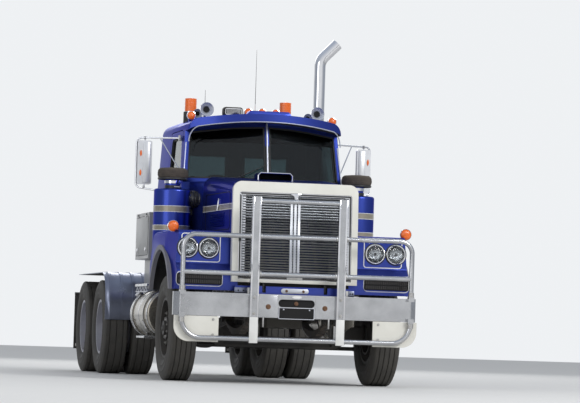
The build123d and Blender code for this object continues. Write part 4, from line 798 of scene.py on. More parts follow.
for side, sign in sides:
    bm = tyreShape(sign * frontHalfTrack, 0, (0.076, 0.026, -0.026, -0.076), 0, tyre)
    makePiece("tyre_front_" + side, bm, ["tyre"], "front_wheel_" + side, ("tyre_front_" + side,))
    for number, station in enumerate(rearStations, 1):
        bm = bmesh.new()
        for offset in (-tyre["duals"], tyre["duals"]):
            put(bm, tyreShape(sign * rearHalfTrack + offset, station, (0.074, 0.0, -0.074), tyre["lugs"], tyre))
        name = f"tyres_rear_{number}_{side}"
        makePiece(name + "_treaded", bm, ["tyre"], f"rear_wheels_{number}_{side}", (name,))
print("Tyres fitted")


# Wheel fastenings: clamps and nuts at the spoke ends, hub bolts and caps
wheelTrim = {
    "spokes": 6, "nutRadius": 0.013, "clampRadius": 0.245, "clampSpread": 0.030, "hubBolts": 8, "valveRadius": 0.262,
    "front": (0.055, 0.105, 0.108, 0.144), "rear": (0.045, 0.150, 0.118, 0.217),  # face, hub, hub radius, cap reach
}


def wheelTrimShape(side, middle, station, end, values):
    face, hub, hubRadius, capReach = values[end]
    axle = Vector((middle, axleY + station, axleZ))
    out = Vector((side, 0, 0))
    bm = bmesh.new()
    for index in range(values["spokes"]):
        # A spoke stands straight up at index 0
        turn = Matrix.Rotation(math.tau * index / values["spokes"], 4, "X")
        for shift in (-values["clampSpread"], values["clampSpread"]):
            spot = axle + turn @ Vector((side * face, shift, values["clampRadius"]))
            lug = blockShape((-0.009, -0.020, -0.022), (0.009, 0.020, 0.028), 0.005)
            lug.transform(Matrix.Translation(spot) @ turn)
            put(bm, lug, 1)
            put(bm, rodShape(spot, spot + out * 0.030, 0.007, segments=10), 0)
            put(bm, boltShape(spot + out * 0.009, out, values["nutRadius"]), 0)
    for index in range(values["hubBolts"]):
        turn = Matrix.Rotation(math.tau * (index + 0.5) / values["hubBolts"], 4, "X")
        put(bm, boltShape(axle + turn @ Vector((side * hub, 0, hubRadius * 0.82)), out, 0.009), 0)
    cap = [(0.0, capReach), (0.022, capReach), (0.030, capReach - 0.004), (0.034, capReach - 0.012), (0.034, hub)]
    put(bm, latheShape(cap, axle, out, 32), 1)
    stem = axle + Matrix.Rotation(0.5, 4, "X") @ Vector((side * (face - 0.02), 0, values["valveRadius"]))
    put(bm, rodShape(stem, stem + out * 0.045, 0.0045, segments=10), 0)
    return bm


for side, sign in sides:
    bm = wheelTrimShape(sign, sign * frontHalfTrack, 0, "front", wheelTrim)
    makePiece("wheel_nuts_front_" + side, bm, ["zinc", "wheelBlack"], "front_wheel_" + side)
    for number, station in enumerate(rearStations, 1):
        bm = wheelTrimShape(sign, sign * rearHalfTrack, station, "rear", wheelTrim)
        body = f"rear_wheels_{number}_{side}"
        makePiece(f"wheel_nuts_rear_{number}_{side}", bm, ["zinc", "wheelBlack"], body)
print("Wheels fastened")


# Lean of the grille and its surround: how far the front has moved back at a height
def leanBack(z):
    return (z - 1.0) * math.tan(math.radians(3))


# Grille trim: an ornament at the top and a foot plate, with a bright inner edge
grilleTrim = {
    "ornament": ((0.0, 1.893), (0.052, 1.893), (0.052, 1.880), (0.022, 1.862), (0.010, 1.800), (0.0, 1.785)),
    "ornamentDepth": 0.010, "footHalf": 0.080, "footLow": 1.036, "footHigh": 1.092, "standOut": 0.010,
    "bead": 0.006,
}


def makeGrilleTrim(values):
    bm = bmesh.new()
    half = values["ornament"]
    outline = list(half) + [(-u, v) for u, v in reversed(half[1:-1])]
    lean = Vector((0, math.sin(math.radians(3)), math.cos(math.radians(3))))
    front = -0.800 + 0.012
    base = Vector((0, axleY + front - 0.012, 1.0))
    put(bm, prismShape([(u, v - 1.0) for u, v in outline], values["ornamentDepth"], base, sideways, lean, 0.002), 0)
    foot = roundedBox(values["footHalf"], values["footLow"] - 1, values["footHigh"] - 1, 0.006, 2)
    put(bm, prismShape(foot, values["standOut"], base + Vector((0, 0.006, 0)), sideways, lean, 0.002), 1)
    put(bm, boltShape(at(0, front - 0.014 + leanBack(1.063), 1.063), forward, 0.006), 1)
    inner = roundedBox(0.5710, 0.0325, 0.8945, 0.024, 4)
    place = base + Vector((0, 0.0130, 0))
    put(bm, frameShape(inner, values["bead"], 0.006, place, sideways, lean), 0)
    edge = roundedBox(grilleInner + 0.003, 0.0545, 0.8725, 0.008, 3)
    put(bm, frameShape(edge, 0.004, 0.004, place, sideways, lean), 0)
    makePiece("grille_trim", bm, ["chrome", "zinc"], "hood")


makeGrilleTrim(grilleTrim)


# Twin sealed-beam lamps in each wing, inside a white pinstriped panel
headlamp = {
    "places": (0.844, 1.057), "height": 1.325, "face": -0.650, "bezel": 0.100, "lens": 0.083,
    "panel": (0.727, 1.122, 1.185, 1.470), "stripe": 0.009, "stripeCorner": 0.030, "screws": 3,
}


def makeHeadlamps(values):
    bm = bmesh.new()
    bezel = values["bezel"]
    lens = values["lens"]
    for x in values["places"]:
        centre = at(x, values["face"], values["height"])
        ring = [
            (bezel + 0.010, -0.001), (bezel + 0.010, 0.004), (bezel + 0.002, 0.005), (bezel, 0.013),
            (bezel - 0.005, 0.017), (bezel - 0.011, 0.017), (lens + 0.001, 0.010), (lens - 0.001, 0.002),
        ]
        bowl = [(0.0, 0.0015), (0.020, 0.0018), (0.040, 0.0028), (0.060, 0.0050), (0.074, 0.0078), (lens, 0.0105)]
        bulb = [(0.0, 0.0105), (0.008, 0.0095), (0.013, 0.006), (0.015, 0.002)]
        dome = [(lens, 0.0110), (0.072, 0.0165), (0.055, 0.0205), (0.030, 0.0235), (0.0, 0.0245)]
        back = [(radius, height - 0.0025) for radius, height in reversed(dome)]
        # The outer dark rubber ring round each bezel is painted shade for the gap round the lamp
        for profile, segments, material in (
            (ring[:3], 48, 2), (ring[2:], 48, 0), (bowl, 48, 3), (bulb, 28, 4), (dome + back, 48, 1),
        ):
            putBoth(bm, latheShape(profile, centre, forward, segments), material)
        for index in range(values["screws"]):
            angle = math.radians(90 + 120 * index)
            spot = centre + Vector((math.cos(angle), 0, math.sin(angle))) * (bezel - 0.006) + Vector((0, -0.015, 0))
            putBoth(bm, rodShape(spot, spot + Vector((0, -0.004, 0)), 0.004, 0.003, 10), 0)
    names = ["chrome", "fluted", "rubber", "lampBowl", "zinc"]
    makePiece("headlamps_detailed", bm, names, "hood", ("headlamps",))


def makePanelStripes(values):
    bm = bmesh.new()
    left, right, low, high = values["panel"]
    middle, half = (left + right) / 2, (right - left) / 2
    outline = roundedBox(half, low, high, values["stripeCorner"], 5, middle)
    place = at(0, values["face"] + 0.0005, 0)
    putBoth(bm, frameShape(outline, values["stripe"], 0.002, place, *facing))
    left, right = 0.712, 1.180
    outline = roundedBox((right - left) / 2, 0.945, 1.088, 0.045, 6, (left + right) / 2)
    putBoth(bm, frameShape(outline, 0.007, 0.002, at(0, -0.7445, 0), *facing))
    makePiece("wing_pinstripes", bm, ["whitePaint"], "hood")


makeHeadlamps(headlamp)
makePanelStripes(headlamp)


# Signal lamps behind a slotted two-row grille, and a round marker lamp on each wing
signal = {
    "span": (0.720, 1.172), "heights": (0.963, 1.070), "face": -0.745, "depth": 0.0085, "slots": 22, "bar": 0.0065,
    "marker": (1.186, -0.515, 1.535), "markerRadius": 0.058,
}


def makeSignals(values):
    bm = bmesh.new()
    (left, right), (low, high) = values["span"], values["heights"]
    face, depth = values["face"], values["depth"]
    putBoth(bm, blockShape(at(left + 0.008, face - 0.003, low + 0.008), at(right - 0.008, face, high - 0.008)), 1)
    outline = roundedBox((right - left) / 2, low, high, 0.014, 3, (left + right) / 2)
    putBoth(bm, frameShape(outline, 0.012, depth, at(0, face, 0), *facing), 0)
    middle = (low + high) / 2
    bar = blockShape(at(left + 0.006, face - depth, middle - 0.007), at(right - 0.006, face, middle + 0.007), 0.001)
    putBoth(bm, bar, 0)
    pitch = (right - left - 0.024) / values["slots"]
    for index in range(values["slots"] + 1):
        x = left + 0.012 + index * pitch
        near, far = x - values["bar"] / 2, x + values["bar"] / 2
        putBoth(bm, blockShape(at(near, face - depth + 0.001, low + 0.006), at(far, face, high - 0.006)), 0)
    x, station, height = values["marker"]
    radius = values["markerRadius"]
    centre = at(x, station, height)
    for axis, index in ((forward, 4), (rearward, 2)):
        dome = ((0.0, 0.028), (0.4, 0.0265), (0.75, 0.020), (0.92, 0.010), (0.94, 0.006))
        rim = ((0.95, 0.010), (1, 0.008), (1, -0.001), (0.90, -0.001))
        for profile, material in ((dome, index), (rim, 3)):
            putBoth(bm, latheShape(scaled(profile, radius), centre, axis, 40), material)
    foot = at(x - 0.045, station, 1.480)
    putBoth(bm, rodShape(foot, at(x - 0.008, station, height - 0.030), 0.019, 0.014, 20), 3)
    finishNames = ["grilleDark", "smokedAmber", "redLens", "chrome", "amberLens"]
    makePiece("signals_detailed", bm, finishNames, "hood", ("signal_lamps",))


makeSignals(signal)
print("Front lamps fitted")


# Bumper and bull bar: bolts, a blank badge and number plate, pins, rail clamps and post strips
bumperTrim = {
    "front": -0.940, "plateBolt": (0.285, 0.762), "slotBolt": 0.800, "badge": (0.0, 0.864, 0.052, 0.017),
    "plate": (0.180, 0.645, 0.760), "border": 0.006, "pinX": 0.330, "hoop": 1.150, "post": 0.435,
    "postHalf": 0.0425, "postFace": 0.050, "whiteEnd": (0.402, 0.655), "edgeStrip": (0.0345, 0.008, 0.660, 1.835),
    "slot": (0.178, 0.768, 0.832), "pin": (0.560, 0.665, 0.010),
}


def makeBumperTrim(values):
    bm = bmesh.new()
    front = values["front"]
    x, z = values["plateBolt"]
    for x in (-x, x):
        put(bm, boltShape(at(x, front - 0.006, z), forward, 0.017), 1)
    # A near-black block set behind the slot is painted shade, so the slot reads deep
    half, low, high = values["slot"]
    put(bm, blockShape(at(-half, front + 0.020, low), at(half, front + 0.028, high)), 2)
    put(bm, boltShape(at(0.0, front + 0.020, values["slotBolt"]), forward, 0.014), 1)
    x, z, halfWide, halfHigh = values["badge"]
    oval = [(x + halfWide * math.cos(math.tau * i / 32), z + halfHigh * math.sin(math.tau * i / 32)) for i in range(32)]
    put(bm, prismShape(oval, 0.004, at(0, front, 0), *facing, 0.001), 3)
    put(bm, frameShape(oval, 0.003, 0.006, at(0, front, 0), *facing), 0)
    half, low, high = values["plate"]
    place = at(0, front - 0.0062, 0)
    put(bm, prismShape(roundedBox(half - 0.004, low + 0.004, high - 0.004, 0.010, 3), 0.002, place, *facing), 2)
    put(bm, frameShape(roundedBox(half, low, high, 0.012, 3), values["border"], 0.004, place, *facing), 0)
    for x in (-0.13, 0.13):
        put(bm, boltShape(at(x, front - 0.008, high - 0.020), forward, 0.005), 0)
    for side in (-1, 1):
        x = side * values["pinX"]
        foot, head, radius = values["pin"]
        put(bm, rodShape(at(x, front + 0.012, foot), at(x, front + 0.012, head), radius, segments=16, bevel=0.002), 4)
        post = side * values["post"]
        half, face = values["postHalf"], front - values["postFace"]
        low, high = values["whiteEnd"]
        put(bm, blockShape(at(post - half, face - 0.0015, low), at(post + half, face, high), 0.0005), 3)
        shift, half, low, high = values["edgeStrip"]
        for middle in (post - shift, post + shift):
            put(bm, blockShape(at(middle - half, face - 0.0045, low), at(middle + half, face, high), 0.002), 5)
        for low, high in ((0.900, 0.945), (0.590, 0.636)):
            centre = at(side * values["hoop"], front - 0.025, 0)
            put(bm, latheShape(bandProfile(0.0245, low, high, 0.0055), centre, upward, 32), 4)
        for z in (0.690, 0.850):
            put(bm, boltShape(at(post, front - 0.050, z), forward, 0.011), 4)
        for z in (1.080, 1.450):
            ring = bandProfile(0.0245, 0.0, 0.014, 0.0065)
            for x, way in ((0.387, -side), (0.4775, side)):
                put(bm, latheShape(ring, at(side * x, front - 0.025, z), (way, 0, 0), 28), 4)
        for x, z in ((0.83, 0.620), (0.83, 0.470), (1.16, 0.620)):
            put(bm, boltShape(at(side * x, front, z), forward, 0.009), 4)
    names = ["brightPlate", "rustBolt", "grilleDark", "whitePaint", "zinc", "chrome"]
    makePiece("bumper_trim", bm, names, "bull_bar")


makeBumperTrim(bumperTrim)


# Apron fittings: a bright pill-shaped cover, brackets and white strips beside them
apron = {
    "face": -0.832, "pill": (0.140, 0.898, 0.948), "brackets": ((-0.610, -0.480), (0.540, 0.600)),
    "bracketHeights": (0.885, 0.945), "strip": 0.024,
}


def makeApronTrim(values):
    bm = bmesh.new()
    half, low, high = values["pill"]
    face, width = values["face"], values["strip"]
    place = at(0, face, 0)
    put(bm, prismShape(roundedBox(half, low, high, (high - low) / 2 - 0.001, 8), 0.010, place, *facing, 0.003), 0)
    for x in (-0.085, 0.085):
        put(bm, boltShape(at(x, face - 0.010, 0.923), forward, 0.009), 1)
    low, high = values["bracketHeights"]
    # The brackets are in the steel whose blue-grey is a painted sky reflection
    for left, right in values["brackets"]:
        put(bm, blockShape(at(left, face - 0.014, low), at(right, face, high), 0.004), 2)
        for share in (0.3, 0.7):
            x = left + (right - left) * share
            mark = at(x, face - 0.013, 0.915)
            put(bm, rodShape(mark, mark - Vector((0, 0.0025, 0)), 0.008, segments=16), 3)
        inner = right if left < 0 else left - width
        put(bm, blockShape(at(inner, face - 0.006, low), at(inner + width, face, high), 0.002), 4)
    names = ["brightPlate", "rustBolt", "galvanised", "grilleDark", "whitePaint"]
    makePiece("apron_fittings", bm, names, "chassis")


makeApronTrim(apron)
print("Bumper and apron trimmed")


# Windscreen: seals, a painted shade band across the top, the centre post between black strips, and the wipers
screen = {
    "centre": 0.720, "corner": 1.000, "half": 0.850, "belt": 2.050, "lean": 15, "depth": 0.014,
    "seal": 0.016, "sealRise": 0.009, "rearSeal": (0.020, 0.012), "bandFoot": 2.475, "bandDepth": 0.003,
    "postRadius": 0.010, "pillarStrip": 0.030,
    "wipers": ((-1, 0.47, 0.005, 0.015, 0.205), (1, 0.50, 0.010, 0.20, 0.045)),  # side, then pivot and tip in the pane
}


def screenSpot(side, along, up, out=0.0):
    right = Vector((side * screen["half"], screen["corner"] - screen["centre"], 0)).normalized()
    ahead = right.cross(Vector((0, 0, 1))) * side
    lean = math.radians(screen["lean"])
    slope = Vector((0, 0, math.cos(lean))) - ahead * math.sin(lean)
    normal = ahead * math.cos(lean) + Vector((0, 0, math.sin(lean)))
    return at(0, screen["centre"], screen["belt"]) + right * along + slope * up + normal * out


# The band is painted shade: dark glass standing for the shade cast into the cab under the brow
def paintedShadeBand(values):
    bm = cadCopy("cab_glass")
    away = [face for face in bm.faces if not face.normal.y < -0.7]
    bmesh.ops.delete(bm, geom=away, context="FACES")
    cut = bm.verts[:] + bm.edges[:] + bm.faces[:]
    bmesh.ops.bisect_plane(
        bm, geom=cut, plane_co=(0, 0, values["bandFoot"]), plane_no=(0, 0, 1), clear_inner=True,
    )
    for face in bm.faces[:]:
        raiseFaces(bm, [face], face.normal * -values["bandDepth"])  # into the glass
    bmesh.ops.recalc_face_normals(bm, faces=bm.faces)
    return bm


def wiperShape(side, pivotAlong, pivotUp, tipAlong, tipUp):
    pivot = screenSpot(side, pivotAlong, pivotUp - 0.035, 0.022)
    tip = screenSpot(side, tipAlong, tipUp, 0.012)
    elbow = pivot.lerp(tip, 0.12) + Vector((0, -0.012, 0.010))
    bm = rodShape(pivot + Vector((0, 0.02, -0.03)), pivot + Vector((0, -0.004, 0.006)), 0.011, segments=16)
    put(bm, tubeShape([pivot, elbow, pivot.lerp(tip, 0.62)], 0.0035))
    blade = [pivot.lerp(tip, share) + Vector((0, 0.006, 0)) for share in (0.24, 1.0)]
    put(bm, tubeShape(blade, 0.0045))
    return bm


def makeScreenDressing(values):
    bm = bmesh.new()
    for side in (-1, 1):
        ahead = lambda face: face.normal.y < -0.7 and face.normal.x * side > 0
        behind = lambda face: (face.normal.y > 0.97 and face.calc_center_median().x * side > 0
                               and face.calc_center_median().y > axleY + 2.5)
        put(bm, paneRim("cab_glass", ahead, values["seal"], values["sealRise"]), 0)
        put(bm, paneRim("cab_glass", behind, *values["rearSeal"]), 0)
    put(bm, paintedShadeBand(values), 1)
    foot, head = screenSpot(1, 0.0, 0.040, 0.004), screenSpot(1, 0.0, 0.655, 0.004)
    foot.x = head.x = 0
    put(bm, rodShape(foot, head, values["postRadius"], segments=16), 2)
    for side in (-1, 1):
        base = screenSpot(side, 0.009, 0.030, 0.0015)
        right, up = screenSpot(side, 1.009, 0.030, 0.0015) - base, screenSpot(side, 0.009, 1.030, 0.0015) - base
        width, tall = values["pillarStrip"], 0.625
        drift = -tall * up.x / right.x  # keeps the strip upright on a pane that leans and turns
        outline = [(0, 0), (width, 0), (width + drift, tall), (drift, tall)]
        put(bm, prismShape(outline, 0.0035 * side, base, right, up, 0.001), 0)
    for wiper in values["wipers"]:
        put(bm, wiperShape(*wiper), 3)
    names = ["rubber", "paintedShadeGlass", "brightPlate", "trimDark"]
    makePiece("windscreen_dressing", bm, names, "chassis")


makeScreenDressing(screen)

# Painted highlights: thin bright lines along the brow's lower edge and down the front pillars, where light catches the
# edges
browHighlight = {"reach": 0.705, "half": 0.850, "sagPlan": 0.280, "crown": 2.690, "sagFront": 0.085, "turn": 0.690,
            "end": 0.806, "endHeight": 2.470, "radius": 0.006}


def arcDrop(x, half, sag):
    radius = (half * half + sag * sag) / (2 * sag)
    return radius - math.sqrt(radius * radius - x * x)


def makeBrowHighlight(values):
    half = values["half"]
    turn, end = values["turn"], values["end"]
    side = [(x, values["crown"] - arcDrop(x, half, values["sagFront"])) for x in evenly(0, turn, 13)]
    top = side[-1][1]
    for step in range(1, 9):
        angle = math.pi / 2 * step / 8
        x = turn + (end - turn) * math.sin(angle)
        side.append((x, top - (top - values["endHeight"]) * (1 - math.cos(angle))))
    outline = [(-x, z) for x, z in reversed(side[1:])] + side
    points = [at(x, values["reach"] + arcDrop(x, half, values["sagPlan"]) - 0.002, z) for x, z in outline]
    bm = tubeShape(points, values["radius"], sides=3)
    for side in (-1, 1):
        foot, head = at(side * 0.843, 1.000, 2.075), at(side * 0.808, 1.105, 2.470)
        put(bm, tubeShape([foot, head], values["radius"], sides=3))
    makePiece("brow_highlight", bm, ["brightPlate"], "chassis")


makeBrowHighlight(browHighlight)


# Doors: rubber window seals, a bright sill strip, a keyhole by the handle and the gold stripe
def makeDoorDressing(side, sign):
    bm = paneRim("door_glass_" + side, lambda f: f.normal.x * sign > 0.8, 0.016, 0.010)
    for face in bm.faces:
        face.material_index = 0
    put(bm, blockShape(at(sign * 0.848, 1.150, 2.020), at(sign * 0.856, 1.930, 2.034), 0.002), 1)
    keyhole = at(sign * 0.849, 1.870, 1.742)
    put(bm, rodShape(keyhole, keyhole + Vector((sign * 0.009, 0, 0)), 0.013, segments=20, bevel=0.002), 1)
    put(bm, blockShape(at(sign * 0.8505, 1.120, 1.727), at(sign * 0.8515, 1.970, 1.777)), 2)
    for z in (1.722, 1.778):
        put(bm, blockShape(at(sign * 0.8505, 1.120, z), at(sign * 0.8522, 1.970, z + 0.005)), 3)
    names = ["rubber", "chrome", "bandGold", "whitePaint"]
    makePiece("door_dressing_" + side, bm, names, "door_" + side)


for side, sign in sides:
    makeDoorDressing(side, sign)
print("Cab glazed and lined")


# Roof: horns, domes on the marker lamps, ribbed beacon domes, a speaker and two whip aerials
roof = {
    "markers": ((-0.754, 2.753), (-0.146, 2.812), (0.0, 2.814), (0.146, 2.812), (0.754, 2.753)),
    "markerFace": 1.150, "markerRadius": 0.045, "beacons": (-0.700, 0.320), "beaconStation": 1.520,
    "beaconTop": 2.955, "beaconRadius": 0.062, "speaker": (-0.235, 1.600, 2.775, 0.105, 0.065),
    "aerials": ((-0.02, 1.45, 2.765, 3.50), (-0.56, 1.45, 2.745, 3.05)),
    "horns": ((0, 0, 0.074, 0.520, 2.825), (-0.074, 0.130, 0.050, 0.170, 2.785)),  # offset, set-back, bell, length, z
    "hornStands": (-0.592, 0.592), "hornStation": 1.140, "hornTube": 0.016,
}


def hornShape(x, station, bell, length, height, tube):
    centre = at(x, station, height)
    bm = bmesh.new()
    lip = (bell * 0.955, -0.002)
    shell = [
        lip, (bell, 0.0), (bell, 0.004), (bell * 0.72, bell * 0.20), (bell * 0.48, bell * 0.52),
        (bell * 0.34, bell * 1.0), (tube + 0.006, bell * 1.6), (tube, bell * 1.75), (tube, length - 0.03),
        (tube + 0.010, length - 0.03), (tube + 0.010, length + 0.012), (0, length + 0.014),
    ]
    throat = [lip, (bell * 0.66, bell * 0.22), (bell * 0.46, bell * 0.48)]
    # The near-black disc deep in the throat is painted shade where the bell runs on into its tube
    for profile, material in ((shell, 0), (throat, 2), ([throat[-1], (0, bell * 0.5)], 1)):
        put(bm, latheShape(profile, centre, rearward, 32), material)
    foot = station + length * 0.6
    for half, near, far, low, high, bevel in (
        (0.012, 0.0, 0.040, height - 0.085, height - tube, 0.003),
        (0.030, -0.01, 0.050, height - 0.090, height - 0.082, 0.002),
    ):
        put(bm, blockShape(at(x - half, foot + near, low), at(x + half, foot + far, high), bevel), 0)
    return bm


def makeRoofEquipment(values):
    bm = bmesh.new()
    for stand in values["hornStands"]:
        for offset, setBack, bell, length, height in values["horns"]:
            station = values["hornStation"] + setBack
            put(bm, hornShape(stand + offset, station, bell, length, height, values["hornTube"]), None)
    makePiece("air_horns_detailed", bm, ["chrome", "grilleDark", "brightPlate"], "chassis", ("air_horns",))
    bm = bmesh.new()
    radius = values["markerRadius"]
    for x, z in values["markers"]:
        centre = at(x, values["markerFace"], z)
        dome = ((0, 0.026), (0.45, 0.0235), (0.78, 0.0155), (0.94, 0.006), (0.95, 0))
        ring = ((0.93, 0.008), (1.03, 0.007), (1.03, -0.012), (0.98, -0.012))
        for material, profile in enumerate((dome, ring)):
            put(bm, latheShape(scaled(profile, radius), centre, forward, 32), material)
    top = values["beaconTop"]
    for x in values["beacons"]:
        radius = values["beaconRadius"]
        centre = at(x, values["beaconStation"], 0)
        turned = [(0, ((1.005, -0.140), (1.005, -0.030), (0.94, -0.010), (0.7, 0.003), (0, 0.008)))]
        for low in (0.022 * index - 0.125 for index in range(5)):
            turned.append((0, ((1, low), (1.03, low + 0.003), (1, low + 0.006))))
        turned += [(1, ((1, -0.150), (1.10, -0.148), (1.10, -0.136), (1, -0.134)))]
        for material, profile in turned:
            put(bm, latheShape(scaled(profile, radius, top), centre, upward, 40), material)
    x, station, foot, halfWide, halfDeep = values["speaker"]
    near, far = station - halfDeep, station + halfDeep
    put(bm, blockShape(at(x - halfWide, near, foot + 0.015), at(x + halfWide, far, foot + 0.115), 0.028, 4), 2)
    border = roundedBox(halfWide - 0.016, 0.03, 0.10, 0.02, 4)
    put(bm, frameShape(border, 0.006, 0.004, at(x, near, foot), *facing), 1)
    for index in range(5):
        z = foot + 0.042 + index * 0.012
        put(bm, blockShape(at(x - 0.075, near - 0.003, z), at(x + 0.075, near, z + 0.004)), 1)
    put(bm, blockShape(at(x - 0.02, station - 0.02, foot - 0.02), at(x + 0.02, station + 0.02, foot + 0.02)), 2)
    for x, station, foot, tip in values["aerials"]:
        put(bm, rodShape(at(x, station, foot - 0.01), at(x, station, foot + 0.05), 0.020, 0.010, 20, 0.002), 2)
        put(bm, rodShape(at(x, station, foot + 0.05), at(x, station, foot + 0.16), 0.005, 0.004, 10), 1)
        put(bm, rodShape(at(x, station, foot + 0.16), at(x, station, tip), 0.003, 0.0015, 8), 2)
    makePiece("roof_fittings", bm, ["amberLens", "chrome", "trimDark"], "chassis")


makeRoofEquipment(roof)
print("Roof fitted out")


# Mirror heads: a raised centre facet, a rubber back edge and two small amber reflectors
mirrorHead = {"x": 1.180, "station": 1.4887, "bottom": 2.030, "top": 2.490, "half": 0.075, "depth": 0.056,
              "reflectors": (2.355, 2.150), "brackets": (2.520, 1.930)}


def makeMirrorTrim(side, sign, values):
    bm = bmesh.new()
    middle, station, half = values["x"], values["station"], values["half"]
    front, rear = station - values["depth"] / 2, station + values["depth"] / 2
    low, high = values["bottom"], values["top"]
    ridge = [(-0.058, 0), (0.016, 0), (0.016, 0.006), (-0.030, 0.012), (-0.058, 0.006)]
    place = at(middle, front, low + 0.018)
    facet = prismShape(ridge, -(high - low - 0.036), place, sideways, forward, 0.002)
    put(bm, facet if sign > 0 else mirrored(facet), 0)
    for z in values["reflectors"]:
        lens = [(0.012 * math.cos(math.tau * i / 16) * (1 - 0.25 * abs(math.sin(math.tau * i / 16))),
                 0.034 * math.sin(math.tau * i / 16)) for i in range(16)]
        centre = at(sign * (middle + 0.044), front, z)
        put(bm, prismShape(lens, 0.007, centre, *facing, 0.002), 1)
    rim = roundedBox(half, low, high, 0.020, 4, sign * middle)
    put(bm, frameShape(rim, 0.006, -0.004, at(0, rear, 0), *facing), 2)
    for z in (2.520, 2.000):
        near, far = at(sign * (middle - 0.008), station - 0.003, z), at(sign * (middle + 0.008), station + 0.003, z)
        put(bm, rodShape(near, far, 0.016, segments=16), 3)
    for z in values["brackets"]:
        spot = at(sign * 0.838, 1.317, z)
        put(bm, blockShape(spot - Vector((0.012, 0.035, 0.030)), spot + Vector((0.012, 0.035, 0.030)), 0.004), 3)
    names = ["mirrorSilver", "amberLens", "rubber", "zinc"]
    makePiece("mirror_trim_" + side, bm, names, "door_" + side)


for side, sign in sides:
    makeMirrorTrim(side, sign, mirrorHead)


# Air cleaners: gold bands with pale edges, a clamp and collar, a ruffled foam sleeve, a ribbed duct
cleaner = {
    "x": 0.975, "station": 0.870, "radius": 0.190, "bands": ((1.725, 1.780), (1.535, 1.580)), "neck": 0.075,
    "neckFoot": 1.963, "capFoot": 2.068, "capTop": 2.178, "cap": 0.157, "ductHeight": 1.865, "ductStation": 0.850,
    "duct": (0.700, 0.815, 0.088),
}


def makeCleanerTrim(values):
    bm = bmesh.new()
    spot = at(values["x"], values["station"], 0)
    radius = values["radius"]
    for low, high in values["bands"]:
        putBoth(bm, latheShape(bandProfile(radius, low, high, 0.0015), spot, upward, 64), 0)
        for z in (low - 0.004, high):
            putBoth(bm, latheShape(bandProfile(radius, z, z + 0.005, 0.0028), spot, upward, 64), 1)
    neck, foot = values["neck"], values["neckFoot"]
    collar = [(neck, foot + 0.055), (neck + 0.010, foot + 0.057), (neck + 0.010, foot + 0.085), (neck, foot + 0.087)]
    putBoth(bm, latheShape(collar, spot, upward, 40), 2)
    putBoth(bm, latheShape(bandProfile(neck, foot + 0.006, foot + 0.036, 0.006), spot, upward, 40), 3)
    bolt = spot + Vector((-0.03, -neck - 0.014, foot + 0.021))
    putBoth(bm, rodShape(bolt - Vector((0.03, 0, 0)), bolt + Vector((0.03, 0, 0)), 0.006, segments=10), 2)
    profile = []
    low, high, cap = values["capFoot"], values["capTop"], values["cap"]
    for step in range(25):
        share = step / 24
        bulge = cap - 0.026 * abs(2 * share - 1) ** 3 + 0.0012 * math.cos(share * math.tau * 5.5)
        profile.append((bulge, low + (high - low) * share))
    sleeve = latheShape([(0.0, low - 0.002)] + profile + [(0.06, high + 0.006), (0.0, high + 0.004)], spot, upward, 72)
    for vert in sleeve.verts:
        around = math.atan2(vert.co.y - spot.y, vert.co.x - spot.x)
        reach = math.hypot(vert.co.x - spot.x, vert.co.y - spot.y)
        if reach > 0.10:
            ruffle = 1 + 0.012 * math.sin(around * 17) * math.sin(vert.co.z * 60) + 0.006 * math.sin(around * 41)
            vert.co.x = spot.x + (vert.co.x - spot.x) * ruffle
            vert.co.y = spot.y + (vert.co.y - spot.y) * ruffle
    putBoth(bm, sleeve, 4)
    foot = [(0.150, low - 0.010), (0.156, low - 0.006), (0.156, low + 0.010), (0.148, low + 0.010)]
    putBoth(bm, latheShape(foot, spot, upward, 56), 3)
    names = ["bandGold", "whitePaint", "chrome", "chassisBlack", "foam"]
    makePiece("cleaner_trim", bm, names, "chassis")
    bm = bmesh.new()
    near, far, bulb = values["duct"]
    centre = at(0, values["ductStation"], values["ductHeight"])
    profile = [(0.068, 0.600), (0.068, near - 0.022)]
    for step in range(41):
        share = step / 40
        ribs = 0.0045 * math.cos(share * math.tau * 7)
        profile.append((bulb - 0.012 * (2 * share - 1) ** 2 + ribs, near + (far - near) * share))
    profile += [(0.070, far + 0.006), (0.070, 0.870)]
    putBoth(bm, latheShape(profile, centre, sideways, 44), 0)
    for x in (near - 0.026, far + 0.006):
        putBoth(bm, latheShape(bandProfile(0.068, x, x + 0.016, 0.007), centre, sideways, 44), 1)
    makePiece("intake_ducts_ribbed", bm, ["hose", "chrome"], "chassis", ("intake_ducts",))


makeCleanerTrim(cleaner)
print("Air cleaners dressed")


# Bonnet sides: a panel outline, a latch, a stripe and louvres; a bright lip round the scoop
hoodTrim = {
    "front": (0.622, -0.700), "rear": (0.690, 0.638), "panel": (0.13, 1.20, 1.520, 1.900), "groove": 0.007,
    "stripe": (1.727, 1.777), "latch": (0.62, 1.800), "louvres": 6, "louvreSpan": (0.36, 0.96, 1.560),
    "scoop": (0.178, 0.330, 2.060, 2.145),
}


